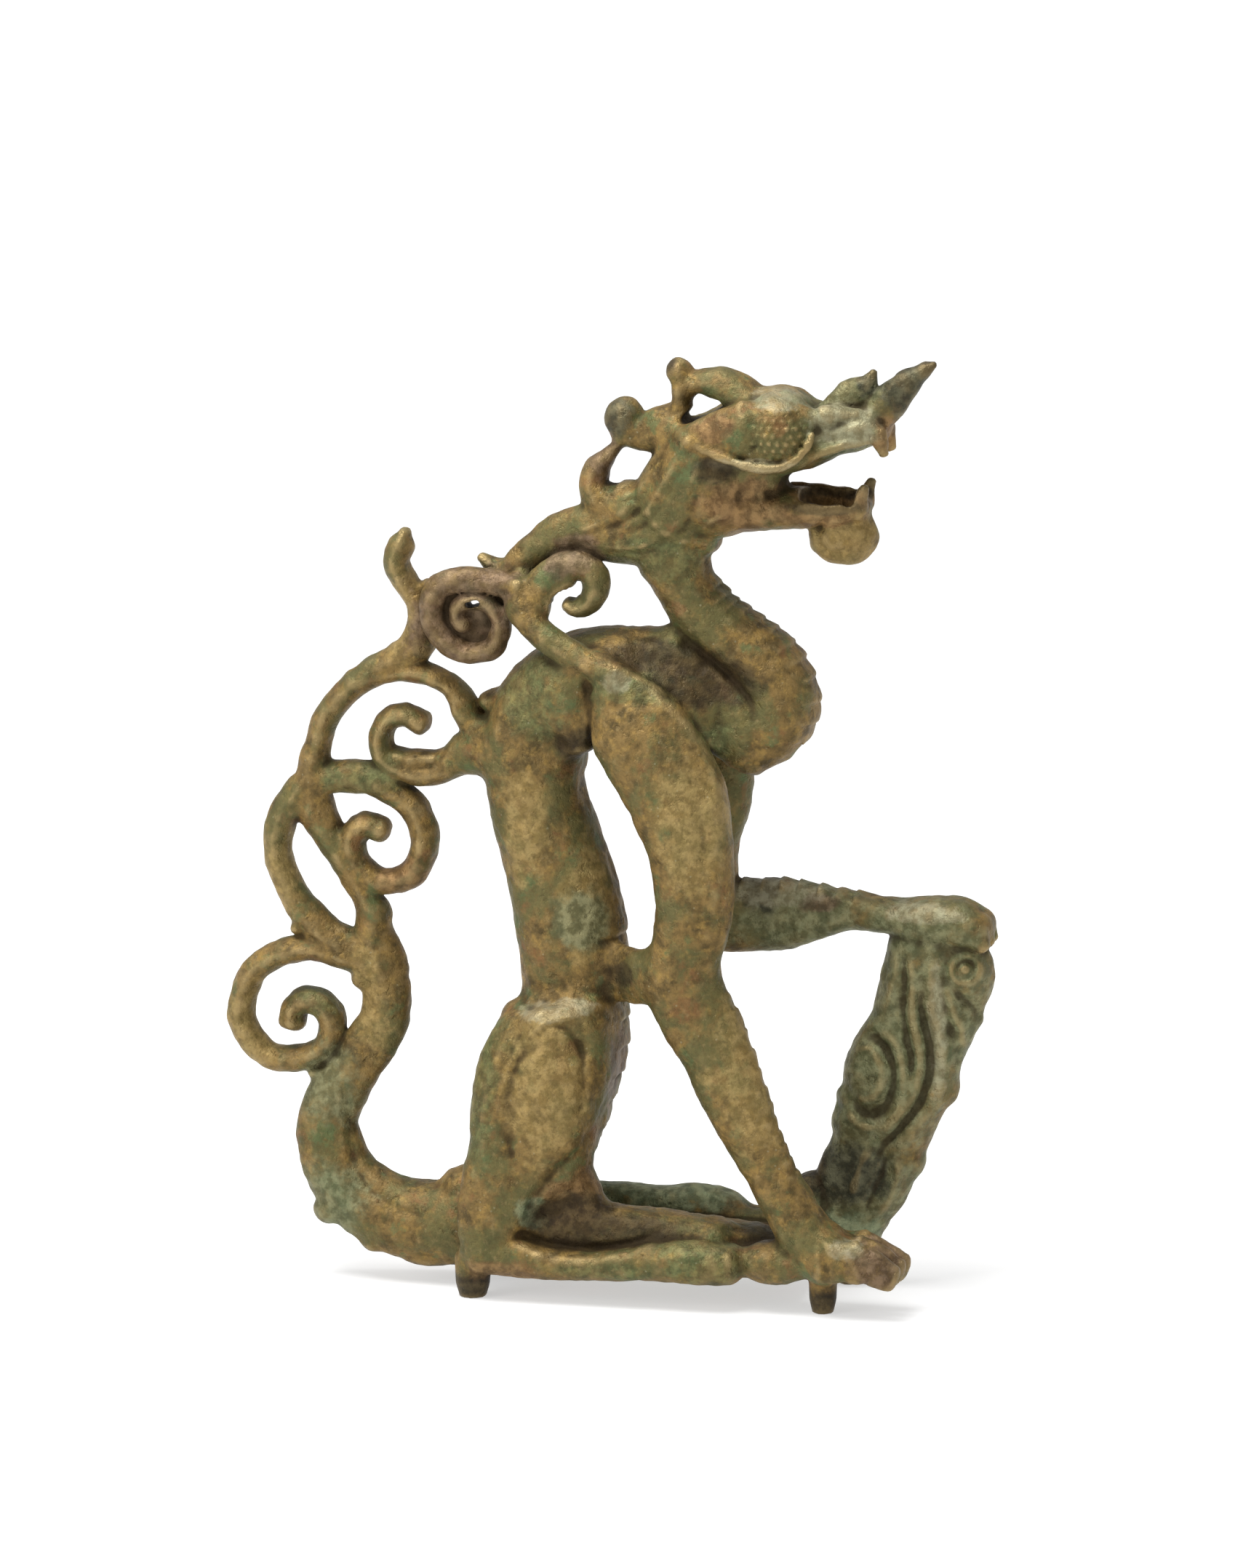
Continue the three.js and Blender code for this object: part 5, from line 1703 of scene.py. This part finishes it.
@dataclass(frozen=True)
class Patina:
    """The mottled brown, olive and green skin of an old bronze, with painted shade in its hollows and painted
    highlights on its tops.
    """

    name: str = "bronze_patina_and_painted_light"
    ground: tuple[Wash, ...] = (
        Wash((126, 102, 58), 260, 0.34, 0.62, 1, 1),
        Wash((148, 120, 64), 430, 0.48, 0.68, 0.8, 2),
        Wash((88, 88, 52), 85, 0.46, 0.58, 0.75, 3),
        Wash((84, 100, 62), 150, 0.56, 0.66, 0.65, 11),
        Wash((124, 86, 52), 120, 0.57, 0.67, 0.6, 12),
    )
    dust: tuple[Wash, ...] = (
        Wash(BROWN, 900, 0.48, 0.66, 0.4, 6),
        Wash(RUBBED, 750, 0.54, 0.7, 0.3, 7),
    )
    roughness: tuple[float, float] = (0.54, 0.38)  # of the skin and of its rubbed places
    hollow_roughness: float = 0.85
    metallic: tuple[float, float] = (0.45, 0.65)  # of the skin and of its rubbed places
    gloss: float = 0.3
    bump_strength: float = 0.6
    bump_distance: float = 0.00035

    def material(self, effects: Effects) -> bpy.types.Material:
        """Builds the material.

        Args:
            effects: The shared effects.

        Returns:
            The material.
        """
        material = bpy.data.materials.new(self.name)
        material.use_nodes = True
        nodes = Nodes(material.node_tree)
        shader = material.node_tree.nodes["Principled BSDF"]
        rub = nodes.effect(effects.rub, scale=420, low=0.26, high=0.8, strength=0.6, seed=8)
        # Darkening in the grooves and hollows.
        hollow_dark = nodes.effect(effects.hollow_dark, scale=300, low=0.1, high=0.75, strength=0.72, seed=9)
        smooth = nodes.between(rub, *self.roughness)
        height = nodes.effect(effects.grain, scale=1500, pits=0.8, seed=10)
        bump = {"Strength": self.bump_strength, "Distance": self.bump_distance, "Height": height}
        for name, value in (
            ("Base Color", self.colour(nodes, effects, rub, hollow_dark)),
            ("Roughness", nodes.between(hollow_dark, smooth, self.hollow_roughness)),
            ("Metallic", nodes.between(rub, *self.metallic)),
            ("Normal", nodes.put("ShaderNodeBump", bump).outputs[0]),
        ):
            material.node_tree.links.new(value, shader.inputs[name])
        shader.inputs["Specular IOR Level"].default_value = self.gloss
        return material

    def colour(self, nodes: Nodes, effects: Effects, rub: Socket, hollow_dark: Socket) -> Socket:
        """Lays the colours over each other, from the ground to the darkening in the hollows.

        Args:
            nodes: The material's nodes.
            effects: The shared effects.
            rub: The mask of the rubbed places.
            hollow_dark: The mask of the darkening in the grooves and hollows.

        Returns:
            The colour of the skin.
        """
        mottle = nodes.effect(effects.clouds, scale=420, low=0.4, high=0.62, strength=1, seed=5)
        colour = self.washed(nodes, effects, shade(BROWN), self.ground)
        colour = self.patched(nodes, effects, colour, mottle, False)
        colour = self.washed(nodes, effects, colour, self.dust)
        specks = nodes.effect(effects.specks, scale=1300, share=0.1, size=0.4, strength=0.35)
        colour = nodes.blend(specks, colour, shade(PALE_SPECK))
        colour = nodes.blend(rub, colour, shade(RUBBED))
        colour = self.patched(nodes, effects, colour, mottle, True)
        shine = nodes.effect(effects.rub, scale=420, low=0.08, high=0.7, strength=0.3, seed=13)
        colour = nodes.blend(shine, colour, shade(RUBBED))
        return nodes.blend(hollow_dark, colour, shade(HOLLOW_COLOUR))

    @staticmethod
    def washed(nodes: Nodes, effects: Effects, colour: object, washes: tuple[Wash, ...]) -> Socket:
        """Lays washes over a colour, the first one lowest.

        Args:
            nodes: The material's nodes.
            effects: The shared effects.
            colour: The colour below.
            washes: The washes.

        Returns:
            The colour with the washes.
        """
        for wash in washes:
            share = nodes.effect(
                effects.clouds, scale=wash.scale, low=wash.low, high=wash.high,
                strength=wash.strength, seed=wash.seed,
            )
            colour = nodes.blend(share, colour, shade(wash.colour))
        return colour

    @staticmethod
    def patched(nodes: Nodes, effects: Effects, colour: Socket, mottle: Socket, over: bool) -> Socket:
        """Lays the tones on the skin, the painted shade and painted highlights among them.

        Args:
            nodes: The material's nodes.
            effects: The shared effects.
            colour: The skin's colour so far.
            mottle: The mask between the dark and the light of each tone.
            over: Whether the tones are the ones that lie over the rubbed places.

        Returns:
            The colour with the tones.
        """
        for number, tone in enumerate(TONES):
            if tone.over is not over:
                continue
            patch = nodes.blend(mottle, shade(tone.dark), shade(tone.light))
            mask = nodes.effect(
                effects.fray, zone=nodes.form(tone.name), scale=tone.scale, fray=tone.fray,
                strength=tone.strength, seed=TONE_SEED + number,
            )
            colour = nodes.blend(mask, colour, patch)
        return colour


@dataclass(frozen=True)
class Lamp:
    """A soft square light that points at the figure."""

    name: str
    place: Point
    size: float
    power: float


@dataclass(frozen=True)
class Studio:
    """A pale floor, soft light and a camera at the picture's viewing angle."""

    aim: Point = (0.0053, 0.0007, 0.1074)
    azimuth: float = 12.0
    elevation: float = 11.0
    distance: float = 3.0
    view_height: float = 0.3260
    sensor: float = 36.0
    floor_reach: float = 4.0
    bend_start: float = 0.7  # behind the figure, in metres
    bend_radius: float = 0.5
    bend_steps: int = 7
    bend_step: float = 7.5  # degrees
    floor_shade: float = 0.5
    floor_glow: float = 0.5
    floor_roughness: float = 0.9
    world_light: float = 0.57
    lamps: tuple[Lamp, ...] = (
        Lamp("above", (-0.25, -0.22, 1.25), 0.8, 20.0),
        Lamp("left", (-1.2, -1.1, 0.6), 0.8, 8.0),
    )

    def build(self) -> None:
        """Builds the floor, the lights and the camera."""
        self.add_floor()
        self.add_lights()
        self.add_camera()

    def add_floor(self) -> None:
        """Adds a floor that sweeps up behind the figure."""
        reach, radius = self.floor_reach, self.bend_radius
        profile = [(-reach, 0.0), (self.bend_start, 0.0)]
        for step in range(1, self.bend_steps + 1):
            turn = math.radians(self.bend_step * step)
            profile.append((self.bend_start + radius * math.sin(turn), radius - radius * math.cos(turn)))
        points = [(x, y, z) for y, z in profile for x in (-reach, reach)]
        faces = [(2 * k, 2 * k + 1, 2 * k + 3, 2 * k + 2) for k in range(len(profile) - 1)]
        mesh = bpy.data.meshes.new("floor")
        mesh.from_pydata(points, [], faces)
        floor = bpy.data.objects.new("floor", mesh)
        for face in mesh.polygons:
            face.use_smooth = True
        bpy.context.scene.collection.objects.link(floor)
        material = bpy.data.materials.new("pale_floor")
        material.use_nodes = True
        shader = material.node_tree.nodes["Principled BSDF"]
        shader.inputs["Base Color"].default_value = (self.floor_shade,) * 3 + (1,)
        shader.inputs["Emission Color"].default_value = (1, 1, 1, 1)
        shader.inputs["Emission Strength"].default_value = self.floor_glow
        shader.inputs["Roughness"].default_value = self.floor_roughness
        mesh.materials.append(material)

    def add_lights(self) -> None:
        """Adds the soft lamps and a pale world."""
        world = bpy.data.worlds.new("studio")
        world.use_nodes = True
        sky = world.node_tree.nodes["Background"].inputs
        sky["Color"].default_value = (1, 1, 1, 1)
        sky["Strength"].default_value = self.world_light
        bpy.context.scene.world = world
        for lamp in self.lamps:
            light = bpy.data.lights.new(lamp.name, "AREA")
            light.size = lamp.size
            light.energy = lamp.power
            holder = bpy.data.objects.new(lamp.name, light)
            holder.location = lamp.place
            aim = Vector(self.aim) - Vector(lamp.place)
            holder.rotation_euler = aim.to_track_quat("-Z", "Y").to_euler()
            bpy.context.scene.collection.objects.link(holder)

    def add_camera(self) -> None:
        """Adds the camera."""
        turn, rise = math.radians(self.azimuth), math.radians(self.elevation)
        back = Vector((math.sin(turn) * math.cos(rise), -math.cos(turn) * math.cos(rise), math.sin(rise)))
        data = bpy.data.cameras.new("camera")
        data.sensor_fit = "VERTICAL"
        data.sensor_height = self.sensor
        data.lens = self.sensor * self.distance / self.view_height
        data.clip_end = 20
        camera = bpy.data.objects.new("camera", data)
        camera.location = Vector(self.aim) + back * self.distance
        camera.rotation_euler = (-back).to_track_quat("-Z", "Y").to_euler()
        bpy.context.scene.collection.objects.link(camera)
        bpy.context.scene.camera = camera
        bpy.context.scene.view_settings.view_transform = "Standard"


def main() -> None:
    """Builds the figure and the studio, and reports each piece."""
    logging.basicConfig(level=logging.INFO, format="%(name)s: %(message)s")
    figure = DragonCasting().build()
    figure.data.materials.append(Patina().material(Effects()))
    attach(figure, "root")
    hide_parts("dragon")
    LOG.info("piece %s", figure.name)
    Studio().build()


if __name__ == "__main__":
    main()
